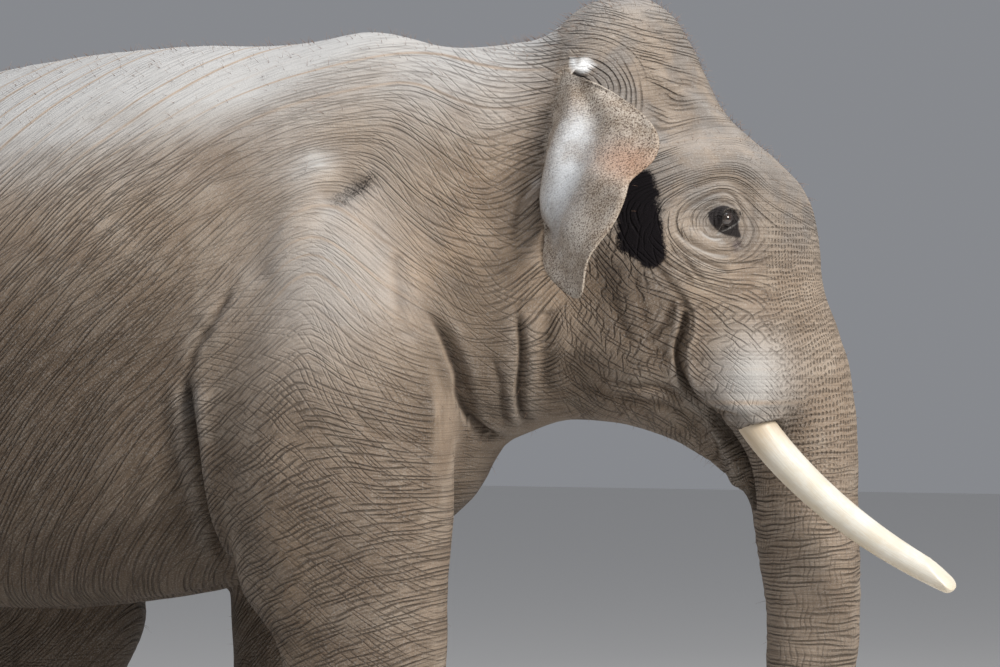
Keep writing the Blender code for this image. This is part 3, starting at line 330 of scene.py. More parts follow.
# The same on the face, from between the eyes. Past 90 degrees a furrow counts from its other side, so
# that the count runs once round the eye.
FACE_GRAIN = (
    (-0.442, 0.423, -10), (-0.350, 0.443, -20), (-0.290, 0.430, -42), (-0.250, 0.376, -68),
    (-0.236, 0.309, -88), (-0.317, 0.369, -60), (-0.283, 0.302, -82), (-0.191, 0.460, -4),
    (-0.200, 0.330, -82), (-0.195, 0.400, -52), (-0.145, 0.410, -28), (-0.215, 0.250, -94),
    (-0.138, 0.483, 0), (-0.150, 0.340, -66), (-0.071, 0.302, -38), (-0.080, 0.230, -8),
    (-0.018, 0.322, -50), (0.048, 0.235, -45), (0.167, 0.148, -40), (0.148, 0.080, -25),
    (0.095, 0.107, -80), (-0.058, 0.087, 38), (-0.005, 0.127, 8), (0.048, 0.094, -38),
    (0.075, 0.027, -80), (0.075, -0.054, -112), (0.022, -0.121, -150), (-0.031, -0.141, -192),
    (-0.085, -0.107, -215), (-0.124, -0.060, -235), (-0.144, 0.000, -262), (-0.124, 0.054, 60),
    (-0.150, 0.140, 22), (-0.111, 0.161, 12), (-0.018, 0.201, 0), (-0.071, -0.188, -230),
    (-0.018, -0.215, -242), (-0.058, -0.282, -262), (0.022, -0.282, -248), (0.088, -0.215, -250),
    (0.114, -0.349, -242), (-0.018, -0.416, -240), (-0.085, -0.403, -260), (-0.151, -0.148, -228),
    (-0.204, -0.174, -212), (-0.264, -0.148, -258), (-0.164, -0.282, -240), (-0.230, -0.282, -235),
    (-0.283, -0.268, -240), (-0.383, -0.248, -258), (-0.442, -0.282, -260), (-0.350, -0.349, -248),
    (-0.270, -0.369, -225), (-0.204, -0.416, -202), (-0.283, -0.470, -200), (-0.383, -0.429, -235),
    (-0.138, -0.470, -210), (-0.416, -0.483, -215), (-0.014, -0.660, -230), (-0.350, -0.050, -262),
)
GRID_X = np.arange(-2.10, 1.14, 0.04)
GRID_Z = np.arange(0.90, 2.98, 0.04)
FACE_X = np.arange(-0.70, 0.42, 0.022)
FACE_Z = np.arange(-0.95, 0.72, 0.022)


# ---------------------------------------------------------------- array tools
def spline(rows, steps=8):
    """Points on a smooth curve through the rows (Catmull-Rom, ends doubled)."""
    rows = np.array(rows, float)
    line = np.vstack((2 * rows[0] - rows[1], rows, 2 * rows[-1] - rows[-2]))
    t = np.linspace(0, 1, steps, endpoint=False)[:, None]
    pieces = []
    for a, b, c, d in zip(line[:-3], line[1:-2], line[2:-1], line[3:]):
        pieces.append(0.5 * (2 * b + (c - a) * t + (2 * a - 5 * b + 4 * c - d) * t ** 2
                             + (3 * b - a - 3 * c + d) * t ** 3))
    return np.vstack(pieces + [rows[-1:]])


def smooth(low, high, value):
    """0 below low, 1 above high, an eased step between; low may be the larger."""
    share = np.clip((value - low) / (high - low), 0, 1)
    return share ** 2 * (3 - 2 * share)


def bell(value, width):
    """1 at 0, falling off to 0 past about twice the width."""
    return np.exp(-(value / width) ** 2)


def unit(rows):
    """Rows at length 1."""
    return rows / np.maximum(np.linalg.norm(rows, axis=-1, keepdims=True), 1e-12)


def cloud(points, size, seed):
    """Soft noise from -1 to 1: random heights on a grid of that size, eased between its corners."""
    heights = np.random.default_rng(seed).random((32, 32, 32)) * 2 - 1
    place = points / size + 400.0
    cell = np.floor(place).astype(int)
    part = place - cell
    part = part ** 2 * (3 - 2 * part)
    total = 0.0
    for corner in np.ndindex(2, 2, 2):
        weight = np.prod(np.where(corner, part, 1 - part), axis=1)
        total = total + weight * heights[tuple(((cell + corner) % 32).T)]
    return total


def edges_of(faces):
    """Each edge of the triangles once, and the number of every triangle's three edges."""
    ends = np.sort(np.stack((faces, np.roll(faces, -1, axis=1)), 2).reshape(-1, 2), axis=1)
    span = int(faces.max()) + 1
    keys, place = np.unique(ends[:, 0].astype(np.int64) * span + ends[:, 1], return_inverse=True)
    return np.stack((keys // span, keys % span), 1), place.reshape(-1, 3)


def normals_of(points, faces):
    """Outward direction at each point: the mean of its triangles', by area."""
    a, b, c = points[faces[:, 0]], points[faces[:, 1]], points[faces[:, 2]]
    square = np.repeat(np.cross(b - a, c - a), 3, axis=0)
    at = faces.ravel()
    return unit(np.stack([np.bincount(at, square[:, k], len(points)) for k in range(3)], 1))


class Neighbours:
    """Means over the points that share an edge with each point."""

    def __init__(self, faces, count):
        pairs = edges_of(faces)[0]
        self.near = np.concatenate((pairs[:, 0], pairs[:, 1]))
        self.far = np.concatenate((pairs[:, 1], pairs[:, 0]))
        self.count = count
        self.degree = np.maximum(np.bincount(self.near, minlength=count), 1)

    def mean(self, values):
        """Mean of the neighbours' values, for one column or several."""
        if values.ndim == 1:
            return np.bincount(self.near, values[self.far], self.count) / self.degree
        return np.stack([self.mean(column) for column in values.T], 1)

    def blur(self, values, rounds):
        """Values eased over the surface."""
        for _ in range(rounds):
            values = (values + self.mean(values)) / 2
        return values

    def ease(self, points, rounds, share=1.0):
        """Points eased without shrinking: a step in, then one slightly longer out (Taubin)."""
        share = np.broadcast_to(np.asarray(share, float), (len(points),))[:, None]
        for _ in range(rounds):
            points = points + 0.50 * share * (self.mean(points) - points)
            points = points - 0.52 * share * (self.mean(points) - points)
        return points


def refine(points, faces, wanted, passes=4):
    """Halves each edge that is longer than wanted(its middle), and fits the triangles to it."""
    for _ in range(passes):
        pairs, place = edges_of(faces)
        ends = points[pairs]
        middle = ends.mean(1)
        split = np.linalg.norm(ends[:, 0] - ends[:, 1], axis=1) > wanted(middle)
        if not split.any():
            break
        number = np.where(split, len(points) + np.cumsum(split) - 1, -1)
        points = np.vstack((points, middle[split]))
        cut = number[place]
        count = (cut >= 0).sum(1)
        first = np.where(count == 2, (np.argmin(cut, axis=1) + 1) % 3, np.argmax(cut, axis=1))
        turn = (first[:, None] + np.arange(3)) % 3
        corner = np.take_along_axis(faces, turn, 1)
        half = np.take_along_axis(cut, turn, 1)
        a, b, c = corner.T
        p, q, r = half.T
        sets = ((count == 0, ((a, b, c),)),
                (count == 1, ((a, p, c), (p, b, c))),
                (count == 2, ((p, b, q), (a, p, q), (a, q, c))),
                (count == 3, ((a, p, r), (p, b, q), (r, q, c), (p, q, r))))
        faces = np.vstack([np.stack(corners, 1)[chosen] for chosen, parts in sets
                           for corners in parts])
    return points, faces


def grid_faces(rows, columns, closed_rows=False, closed_columns=False):
    """Triangles of a grid of points, row after row; closed ways join their last to their first."""
    number = np.arange(rows * columns).reshape(rows, columns)
    if closed_rows:
        number = np.vstack((number, number[:1]))
    if closed_columns:
        number = np.hstack((number, number[:, :1]))
    a, b = number[:-1, :-1].ravel(), number[:-1, 1:].ravel()
    c, d = number[1:, 1:].ravel(), number[1:, :-1].ravel()
    return np.concatenate((np.stack((a, b, c), 1), np.stack((a, c, d), 1)))


def tube(rings):
    """A closed tube through rings of points, its ends fans about their middles; faces outwards."""
    rows, columns = rings.shape[:2]
    points = np.vstack((rings.reshape(-1, 3), rings[0].mean(0), rings[-1].mean(0)))
    faces = grid_faces(rows, columns, closed_columns=True)
    ring = np.arange(columns)
    after = np.roll(ring, -1)
    start = np.stack((after, ring, np.full(columns, rows * columns)), 1)
    base = (rows - 1) * columns
    end = np.stack((base + ring, base + after, np.full(columns, rows * columns + 1)), 1)
    faces = np.vstack((faces, start, end))
    return points, outward(points, faces)


def outward(points, faces):
    """The faces, turned over as a whole if the shell holds a negative volume."""
    a, b, c = points[faces[:, 0]], points[faces[:, 1]], points[faces[:, 2]]
    volume = np.einsum("ij,ij->i", a, np.cross(b, c)).sum()
    return faces if volume > 0 else faces[:, ::-1]


def mesh_from(name, points, faces):
    """A Blender mesh of the arrays, shaded smooth."""
    mesh = bpy.data.meshes.new(name)
    mesh.vertices.add(len(points))
    mesh.vertices.foreach_set("co", np.asarray(points, np.float32).ravel())
    mesh.loops.add(faces.size)
    mesh.loops.foreach_set("vertex_index", faces.astype(np.int32).ravel())
    mesh.polygons.add(len(faces))
    mesh.polygons.foreach_set("loop_start", np.arange(0, faces.size, faces.shape[1], dtype=np.int32))
    mesh.update(calc_edges=True)
    mesh.polygons.foreach_set("use_smooth", np.ones(len(faces), bool))
    mesh.validate()
    return mesh


def arrays_of(mesh):
    """Points and triangles of a mesh, with loose copies of a corner made one."""
    points = np.empty(len(mesh.vertices) * 3, np.float32)
    mesh.vertices.foreach_get("co", points)
    mesh.calc_loop_triangles()
    faces = np.empty(len(mesh.loop_triangles) * 3, np.int32)
    mesh.loop_triangles.foreach_get("vertices", faces)
    points = points.reshape(-1, 3).astype(float)
    _, keep, place = np.unique(np.round(points * 1e5).astype(np.int64), axis=0,
                               return_index=True, return_inverse=True)
    faces = place.ravel()[faces.reshape(-1, 3)]
    whole = (faces[:, 0] != faces[:, 1]) & (faces[:, 1] != faces[:, 2]) & (faces[:, 2] != faces[:, 0])
    return points[keep], faces[whole]


def add_object(name, points, faces):
    """A new object of the arrays in the scene."""
    item = bpy.data.objects.new(name, mesh_from(name, points, faces))
    bpy.context.scene.collection.objects.link(item)
    return item


def carried_out(item):
    """Arrays of an item after its modifiers; the item goes."""
    graph = bpy.context.evaluated_depsgraph_get()
    mesh = bpy.data.meshes.new_from_object(item.evaluated_get(graph))
    arrays = arrays_of(mesh)
    bpy.data.meshes.remove(mesh)
    bpy.data.objects.remove(item)
    return arrays


def largest_shell(points, faces):
    """The shell with the most points, of those that make up the arrays."""
    pairs = edges_of(faces)[0]
    label = np.arange(len(points))
    while True:
        low = np.minimum(label[pairs[:, 0]], label[pairs[:, 1]])
        new = label.copy()
        np.minimum.at(new, pairs[:, 0], low)
        np.minimum.at(new, pairs[:, 1], low)
        new = new[new]
        if np.array_equal(new, label):
            break
        label = new
    keep = label == np.bincount(label).argmax()
    number = np.cumsum(keep) - 1
    return points[keep], number[faces[keep[faces[:, 0]]]]


def joined(*shells):
    """Several arrays of points and faces as one."""
    start = np.cumsum([0] + [len(points) for points, _ in shells])
    return (np.vstack([points for points, _ in shells]),
            np.vstack([faces + base for (_, faces), base in zip(shells, start)]))


def united(shell, *others):
    """The union of closed shells."""
    item = add_object("union", *shell)
    helpers = [add_object("with", *other) for other in others]
    for helper in helpers:
        step = item.modifiers.new("union", "BOOLEAN")
        step.operation = "UNION"
        step.solver = "MANIFOLD"
        step.object = helper
    arrays = carried_out(item)
    for helper in helpers:
        bpy.data.objects.remove(helper)
    return arrays


def near_line(points, path, reach):
    """Distance from each flat point to a curve through the path, and how far along it that is, 0 to 1.

    Points further off than reach are left at a large distance.
    """
    line = spline(path, 5)
    low, high = line.min(0) - reach, line.max(0) + reach
    chosen = np.flatnonzero(((points > low) & (points < high)).all(1))
    distance = np.full(len(points), 9.0)
    along = np.zeros(len(points))
    spot = points[chosen]
    best, where = distance[chosen], along[chosen]
    for number, (a, b) in enumerate(zip(line[:-1], line[1:])):
        step = b - a
        t = np.clip((spot - a) @ step / (step @ step), 0, 1)
        off = np.linalg.norm(spot - a - t[:, None] * step, axis=1)
        nearer = off < best
        best = np.where(nearer, off, best)
        where = np.where(nearer, (number + t) / (len(line) - 1), where)
    distance[chosen] = best
    along[chosen] = where
    return distance, along


def inside_outline(points, outline):
    """Distance of flat points to a closed outline, above 0 inside it."""
    line = spline(tuple(outline) + (outline[0],), 4)
    best = np.full(len(points), 9.0)
    turns = np.zeros(len(points), bool)
    for a, b in zip(line[:-1], line[1:]):
        step = b - a
        t = np.clip((points - a) @ step / max(step @ step, 1e-12), 0, 1)
        best = np.minimum(best, np.linalg.norm(points - a - t[:, None] * step, axis=1))
        crosses = (a[1] > points[:, 1]) != (b[1] > points[:, 1])
        with np.errstate(divide="ignore", invalid="ignore"):
            at = a[0] + (points[:, 1] - a[1]) / (b[1] - a[1]) * step[0]
        turns ^= crosses & (points[:, 0] < at)
    return np.where(turns, best, -best)


def lie_map(table, x_line, z_line, turn, ease):
    """A map on a grid over the animal's side whose level lines run along the furrows of its hide.

    Each row of the table gives how steeply the furrows rise forwards at one place. Between the rows
    the direction square to them is their mean, weighted by nearness, and turned by turn degrees. The
    map is the field whose rise comes nearest, in least squares, to one metre for each metre square
    to the furrows (conjugate gradients).
    """
    rows = np.array(table)
    across, up = np.meshgrid(x_line, z_line, indexing="ij")
    step = x_line[1] - x_line[0]
    far = np.hypot(across[..., None] - rows[:, 0], up[..., None] - rows[:, 1])
    weight = 1 / (far + ease) ** 4
    lean = np.radians(rows[:, 2])
    angle = np.arctan2((weight * np.sin(lean)).sum(-1), (weight * np.cos(lean)).sum(-1))
    angle = angle + np.radians(turn)
    rise_x, rise_z = -np.sin(angle) * step, np.cos(angle) * step
    rise_x, rise_z = (rise_x[1:] + rise_x[:-1]) / 2, (rise_z[:, 1:] + rise_z[:, :-1]) / 2

    def spread(along_x, along_z):
        """Each node's sum of the rises that end at it, less those that start there."""
        total = np.zeros_like(angle)
        total[1:] += along_x
        total[:-1] -= along_x
        total[:, 1:] += along_z
        total[:, :-1] -= along_z
        return total

    level = np.zeros_like(angle)
    left = spread(rise_x, rise_z)
    way = left.copy()
    for _ in range(260):
        pull = spread(np.diff(way, axis=0), np.diff(way, axis=1))
        share = (left * left).sum() / (way * pull).sum()
        level += share * way
        fresh = left - share * pull
        way = fresh + way * (fresh * fresh).sum() / (left * left).sum()
        left = fresh
    return level


def read_map(level, x_line, z_line, x, z):
    """A grid map's value at each place, straight between its four nearest nodes."""
    step = x_line[1] - x_line[0]
    i = np.clip((x - x_line[0]) / step, 0, len(x_line) - 1.001)
    k = np.clip((z - z_line[0]) / step, 0, len(z_line) - 1.001)
    a, b = i.astype(int), k.astype(int)
    i, k = i - a, k - b
    return (level[a, b] * (1 - i) * (1 - k) + level[a + 1, b] * i * (1 - k)
            + level[a, b + 1] * (1 - i) * k + level[a + 1, b + 1] * i * k)


def body_lie(x, z):
    """Two maps of the body's furrows: they cross at a sharp angle, and at a wide one on the arm."""
    across, up = np.meshgrid(GRID_X, GRID_Z, indexing="ij")
    wide = smooth(-0.34, -0.10, across) * smooth(2.25, 1.85, up) * smooth(0.85, 0.60, across)
    return [read_map(lie_map(GRAIN, GRID_X, GRID_Z, turn, 0.03), GRID_X, GRID_Z, x, z)
            for turn in (6.0 - 3.0 * wide, -11.0 - 42.0 * wide)]


def face_lie(x, z):
    """Two maps of the face's furrows, which cross at a middling angle."""
    return [read_map(lie_map(FACE_GRAIN, FACE_X, FACE_Z, turn, 0.015), FACE_X, FACE_Z, x, z)
            for turn in (6.0, -44.0)]


# ---------------------------------------------------------------- parts joined to the skin
def ring_frames(centres):
    """Two directions square to a path at each of its points, the first as near upright as it can be."""
    run = unit(np.gradient(centres, axis=0))
    across = unit(np.cross(run, (0.0, 1.0, 0.0)) + 1e-9)
    return across, unit(np.cross(run, across))


def tusk_line(side, shown, seated=TUSK_SEATED, steps=46):
    """Middle line and radii of a tusk: an arc forwards, outwards and down, its slope easing off."""
    length = np.linspace(-seated, shown, steps)
    share = np.clip(length / TUSK_FULL, 0, 1)
    dip = np.radians(TUSK_DIP[0] + (TUSK_DIP[1] - TUSK_DIP[0]) * share ** 0.8)
    step = np.diff(length, prepend=length[0])
    forward = np.cumsum(np.cos(dip) * step)
    down = np.cumsum(np.sin(dip) * step)
    forward -= np.interp(0, length, forward)
    down -= np.interp(0, length, down)
    root = np.array(TUSK_ROOT)
    centres = np.stack((root[0] + forward, side * (root[1] + TUSK_SPREAD * forward),
                        root[2] - down), 1)
    radii = TUSK_RADII[0] + (TUSK_RADII[1] - TUSK_RADII[0]) * share ** 1.4
    return centres, radii


def rings_along(centres, radii, around, flat=1.0):
    """Rings of points square to a path: circles of the radii, flattened one way."""
    up, side = ring_frames(centres)
    angle = np.linspace(0, 2 * np.pi, around, endpoint=False)
    radii = np.asarray(radii)[:, None, None]
    return (centres[:, None] + radii * (up[:, None] * np.cos(angle)[None, :, None]
                                        + flat * side[:, None] * np.sin(angle)[None, :, None]))


def tusk_shell(name):
    """A tusk, its tip rounded over and worn flat on its upper outer side."""
    side, shown = SIDES[name], TUSK_SHOWN[name]
    centres, radii = tusk_line(side, shown)
    ahead = unit(centres[-1] - centres[-2])
    turn = np.linspace(0.12, 1.0, 9) * np.pi / 2
    cap = centres[-1] + ahead * (radii[-1] * 0.80 * np.sin(turn))[:, None]
    radii = np.concatenate((radii, radii[-1] * np.maximum(np.cos(turn), 0.02) ** 0.8))
    centres = np.vstack((centres, cap))
    rings = rings_along(centres, radii, 40)
    points, faces = tube(rings)
    wear_out = unit(np.array((0.62, 0.45 * side, 0.62)))
    limit = centres[-1] @ wear_out - 0.010
    over = points @ wear_out - limit
    points = points - np.maximum(over, 0)[:, None] * wear_out * 0.8
    return head_shell(points, faces)


def ear_middle(side):
    """Middle surface of an ear, rows down it and columns from its root to its free margin.

    It runs from the root line to an eased margin; the margin's own dents show only near it. It bows
    backwards, a column stands up along the root, and small folds cross the column's hind edge.
    """
    margin = spline(EAR_MARGIN, EAR_STEPS)
    eased = margin.copy()
    for _ in range(150):
        eased[1:-1] += (eased[2:] + eased[:-2] - 2 * eased[1:-1]) / 2
    v = np.linspace(0, 1, len(margin))[:, None, None]
    root = EAR_ROOT_TOP * (1 - v) + EAR_ROOT_FOOT * v
    u = np.linspace(0, 1, EAR_COLUMNS)[None, :, None]
    blade = root * (1 - u) + eased[:, None] * u + (margin - eased)[:, None] * u ** 3
    fullness = np.sin(np.pi * np.clip(v[..., 0] * 1.05, 0, 1))
    u, v = u[..., 0], v[..., 0]
    blade[..., 0] -= EAR_BOW * fullness * np.sin(np.pi * u ** 0.8)
    square = unit(np.cross(np.gradient(blade, axis=0), np.gradient(blade, axis=1)))
    if (square[..., 1].mean() < 0) != (side < 0):
        square = -square
    column = 0.015 * bell(u - 0.44 + 0.06 * v, 0.11) * smooth(0.02, 0.2, v) * smooth(1.0, 0.8, v)
    groove = -0.011 * bell(u - 0.64 + 0.04 * v, 0.08) * smooth(0.05, 0.3, v) * smooth(1.0, 0.7, v)
    wave = np.sin(2 * np.pi * (v * 13 + 0.6 * np.sin(9 * v) + 0.8 * u))
    folds = 0.0035 * wave * bell(u - 0.10, 0.10) * smooth(0.15, 0.3, v) * smooth(0.80, 0.6, v)
    ripple = 0.004 * np.sin(2 * np.pi * (v * 4.5 + 0.3 * u)) * smooth(0.6, 1.0, u)
    curl = 0.018 * smooth(0.72, 1.0, u) ** 2 * smooth(0.0, 0.1, v) * smooth(0.52, 0.36, v)
    back = (column + groove + folds + ripple - curl)[..., None]
    blade = blade + square * back * (-1.0)
    return blade * (1, side, 1), u + 0 * v, v + 0 * u


def ear_shell(side):
    """An ear: its middle surface given a wall that thins to a rounded margin; rows close into rings."""
    middle, u, _ = ear_middle(side)
    square = unit(np.cross(np.gradient(middle, axis=0), np.gradient(middle, axis=1)))
    half = (EAR_WALL[0] + (EAR_WALL[1] - EAR_WALL[0]) * u ** 0.7)[..., None]
    rings = np.concatenate((middle + square * half, (middle - square * half)[:, ::-1]), 1)
    return head_shell(*tube(rings))


def tail_shell():
    """The tail: oval rings down its middle line."""
    rows = spline(TAIL, 14)
    centres = np.stack((rows[:, 0], np.zeros(len(rows)), rows[:, 1]), 1) + WITHERS
    up, side = ring_frames(centres)
    angle = np.linspace(0, 2 * np.pi, 32, endpoint=False)[None, :, None]
    rings = (centres[:, None] + up[:, None] * np.cos(angle) * rows[:, 2, None, None]
             + side[:, None] * np.sin(angle) * rows[:, 3, None, None])
    return tube(rings)


# ---------------------------------------------------------------- the skin's shape
def fused_flesh():
    """The solids of the flesh as one eased shell, the seats of eyes and tusks filled."""
    shells = []
    for name in FLESH:
        if name.startswith(("ear_", "tail")):
            continue
        points, faces = arrays_of(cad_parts[name].data)
        shells.append((points + PUFF * normals_of(points, faces), faces))
    angle = np.linspace(0.15, np.pi - 0.15, 12)
    for side, way in SIDES.items():
        centres = in_head(EYE_AT[side]) + np.stack((0 * angle, 0 * angle, np.cos(angle)), 1) * 0.020
        centres[:, 1] -= way * 0.012
        centres[:, 0] -= 0.006
        shells.append(head_shell(*tube(rings_along(centres, 0.020 * np.sin(angle), 16))))
        line, radii = tusk_line(way, 0.012, TUSK_SEATED + 0.01, 12)
        shells.append(head_shell(*tube(rings_along(line, radii + 0.002, 20))))
    item = add_object("flesh", *joined(*shells))
    step = item.modifiers.new("fuse", "REMESH")
    step.mode = "VOXEL"
    step.voxel_size = FUSE_GRID
    step.use_smooth_shade = True
    points, faces = largest_shell(*carried_out(item))
    return Neighbours(faces, len(points)).ease(points, EASE_ROUNDS), faces


def head_shell(points, faces):
    """A shell given by its places in the head, in the world."""
    return from_head(points), faces


def wanted_edge(points):
    """Longest edge allowed at each place: short on lids and in folds, middling on head and trunk."""
    head = in_head(points)
    body = in_body(points)
    size = np.full(len(points), BODY_EDGE)
    of_head = (body[:, 0] > 0.42) & (head[:, 2] > -2.3)
    size = np.where(of_head, HEAD_EDGE, size)
    size = np.where(points[:, 2] < 0.30, FEET_EDGE, size)
    for table, place, outer, least in ((FACE_FOLDS, head, 0.02, 0.0052),
                                       (BODY_FOLDS, body, 0.16, 0.0100)):
        flat = place[:, [0, 2]]
        for _, path, width, _ in table:
            distance, _ = near_line(flat, path, 2.0 * width)
            zone = 1.7 * width if width < 0.013 else 1.2 * width
            near = (distance < zone) & (np.abs(place[:, 1]) > outer)
            size = np.where(near, np.minimum(size, max(0.75 * width, least)), size)
    to_eye = np.stack((head[:, 0], np.abs(head[:, 1]) - EYE_OUT, head[:, 2]), 1)
    far = np.linalg.norm(to_eye * (1, 0.8, 1), axis=1)
    size = np.where(far < 0.135, np.minimum(size, 0.0085), size)
    size = np.where(far < 0.082, AROUND_EYE_EDGE, size)
    size = np.where(far < 0.036, LID_EDGE, size)
    return size


def pressed(flat, facing, folds, displacement, shade):
    """Adds the folds and ridges of a table: a bell across each path, tapering at its ends.

    A fold, whose rise is below 0, also lifts a lip along each side and paints shade on its own floor.
    """
    for _, path, width, rise in folds:
        distance, along = near_line(flat, path, 5 * width)
        taper = (0.10 + 0.90 * smooth(0.0, 0.18, along) * smooth(1.0, 0.82, along)) * facing
        displacement += rise * bell(distance, width) * taper
        if rise < 0:
            displacement -= 0.30 * rise * bell(distance - 2.3 * width, 1.2 * width) * taper
            # painted shade along the fold's floor
            strength = min(1.0, 0.60 * abs(rise) / width)
            shade[:] = np.maximum(shade, strength * bell(distance, 0.62 * width) * taper)
    return displacement


def lids(points, ears):
    """Eyelids over each eyeball: the skin domes over it, and inside the opening drops behind it."""
    head = in_head(points)
    for side in SIDES.values():
        facing = unit(EYE_FACING * (1, side, 1))
        from_eye = head - (0.0, side * EYE_OUT, 0.0)
        depth = from_eye @ facing
        flat = from_eye - depth[:, None] * facing
        chosen = np.flatnonzero((np.linalg.norm(flat, axis=1) < 0.085) & (np.abs(depth) < 0.06)
                                & (ears < 0.5))
        flat = flat[chosen]
        off = np.linalg.norm(flat, axis=1)
        ahead = unit(np.cross(facing, (0, 0, 1.0)) * (-side, -side, 0))
        spot = np.stack((flat @ ahead * 0.90, flat[:, 2]), 1)
        gap = inside_outline(spot, LID_OPENING)
        ball = np.sqrt(np.maximum(EYE_RADIUS ** 2 - off ** 2, 0))
        upper = smooth(-0.012, 0.006, spot[:, 1] + 0.4 * spot[:, 0])
        lid = 0.0236 * bell(off, 0.036) + (0.0008 + 0.0026 * upper) * bell(gap + 0.004, 0.0046)
        blend = smooth(0.074, 0.030, off)
        level = depth[chosen] * (1 - blend) + lid * blend
        crow = bell(gap + 0.0125, 0.0024) + 0.8 * bell(gap + 0.0200, 0.0028)
        level -= 0.0022 * crow * (0.35 + 0.65 * upper)
        pit = np.minimum(ball - 0.0050, 0.0135)
        level = level + (pit - level) * smooth(-0.0006, 0.0016, gap)
        head[chosen] += (level - depth[chosen])[:, None] * facing
    return from_head(head)


def sockets(points):
    """A rolled lip of skin round each tusk where it leaves its socket."""
    head = in_head(points)
    for side in SIDES.values():
        line, radii = tusk_line(side, 0.10, 0.12, 45)
        run = unit(line[1:] - line[:-1])
        chosen = np.flatnonzero(np.linalg.norm(head - line[22], axis=1) < 0.20)
        spot = head[chosen]
        offset = spot[:, None] - line[None]
        nearest = np.linalg.norm(offset, axis=2).argmin(1)
        along = np.linspace(-0.12, 0.10, 45)[nearest]
        away = offset[np.arange(len(chosen)), nearest]
        radius = np.linalg.norm(away, axis=1)
        off = radius - radii[nearest]
        tip = smooth(-0.05, -0.005, along)
        lift = 0.013 * bell(off - 0.016, 0.014) * tip
        into = 0.030 * smooth(0.006, -0.012, off) * smooth(-0.10, -0.02, along)
        way = run[np.minimum(nearest, len(run) - 1)]
        head[chosen] += way * (lift * 0.8 - into)[:, None] + unit(away) * (lift * 0.5)[:, None]
    return from_head(head)


def toes(points):
    """Swellings over each nail, easing out at the floor."""
    grown = np.zeros(len(points))
    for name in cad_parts:
        if name.startswith("toenail"):
            spot = middle_of(name)
            off = np.linalg.norm((points - spot - (0, 0, 0.03)) * (1, 1, 0.6), axis=1)
            grown += 0.012 * bell(off, 0.055)
    low = points[:, 2] < 0.5
    return grown * low * smooth(0.0, 0.03, points[:, 2])


def trunk_share(points):
    """How far along the trunk each place is, in metres from its top, and its distance from it."""
    head = in_head(points)
    flat = head[:, [0, 2]]
    distance, along = near_line(flat, TRUNK, 0.45)
    line = spline(TRUNK, 5)
    length = np.concatenate(([0], np.cumsum(np.linalg.norm(np.diff(line, axis=0), axis=1))))
    metres = np.interp(along * (len(line) - 1), np.arange(len(line)), length)
    aside = np.hypot(distance, head[:, 1])
    return metres, aside


def trunk_tip(points):
    """Two nostrils in the trunk's end and the finger at its front edge."""
    head = in_head(points)
    end = np.array((TRUNK[-1][0], 0.0, TRUNK[-1][1]))
    run = unit(np.array((TRUNK[-1][0] - TRUNK[-2][0], 0.0, TRUNK[-1][1] - TRUNK[-2][1])))
    near = np.linalg.norm(head - end, axis=1) < 0.16
    at_end = smooth(0.020, 0.045, (head - end) @ run + 0.05) * near
    for side in SIDES.values():
        off = np.linalg.norm(np.stack((head[:, 1] - side * 0.024, head[:, 2] - end[2] + 0.002), 1)
                             * (1.0, 0.8), axis=1)
        head -= run * (0.060 * bell(off, 0.014) * at_end)[:, None]
    off = np.linalg.norm(np.stack((head[:, 1], head[:, 2] - end[2] + 0.052), 1) * (0.7, 1.0), axis=1)
    head += run * (0.024 * bell(off, 0.022) * at_end)[:, None]
    return from_head(head)


def skin_arrays():
    """Points and faces of the whole skin, with the ears and the tail joined on."""
    shell = fused_flesh()
    ears = [ear_shell(side) for side in SIDES.values()]
    points, faces = united(shell, *ears, tail_shell())
    points, faces = largest_shell(points, faces)
    points, faces = refine(points, faces, wanted_edge)
    return points, faces


def nearest_of(points, spots):
    """For each point, the number of the spot nearest to it and how far off that is."""
    middle = spots.mean(0)
    points, spots = points - middle, spots - middle
    square = (spots ** 2).sum(1)
    parts = []
    for some in np.array_split(points, len(points) // 3000 + 1):
        gap = square - 2 * some @ spots.T
        number = gap.argmin(1)
        parts.append((number, gap[np.arange(len(some)), number] + (some ** 2).sum(1)))
    number, gap = (np.concatenate(rows) for rows in zip(*parts))
    return number, np.sqrt(np.maximum(gap, 0))


def ear_places(points):
    """For each point: nearness to an ear (0 to 1) and its place across and down it."""
    share, across, down = np.zeros((3, len(points)))
    for side in SIDES.values():
        middle, u, v = ear_middle(side)
        spots = from_head(middle.reshape(-1, 3))
        low, high = spots.min(0) - 0.03, spots.max(0) + 0.03
        chosen = np.flatnonzero(((points > low) & (points < high)).all(1))
        number, off = nearest_of(points[chosen], spots)
        share[chosen] = 1 - np.clip((off - 0.011) / 0.010, 0, 1)
        across[chosen] = u.ravel()[number]
        down[chosen] = v.ravel()[number]
    return share, across, down


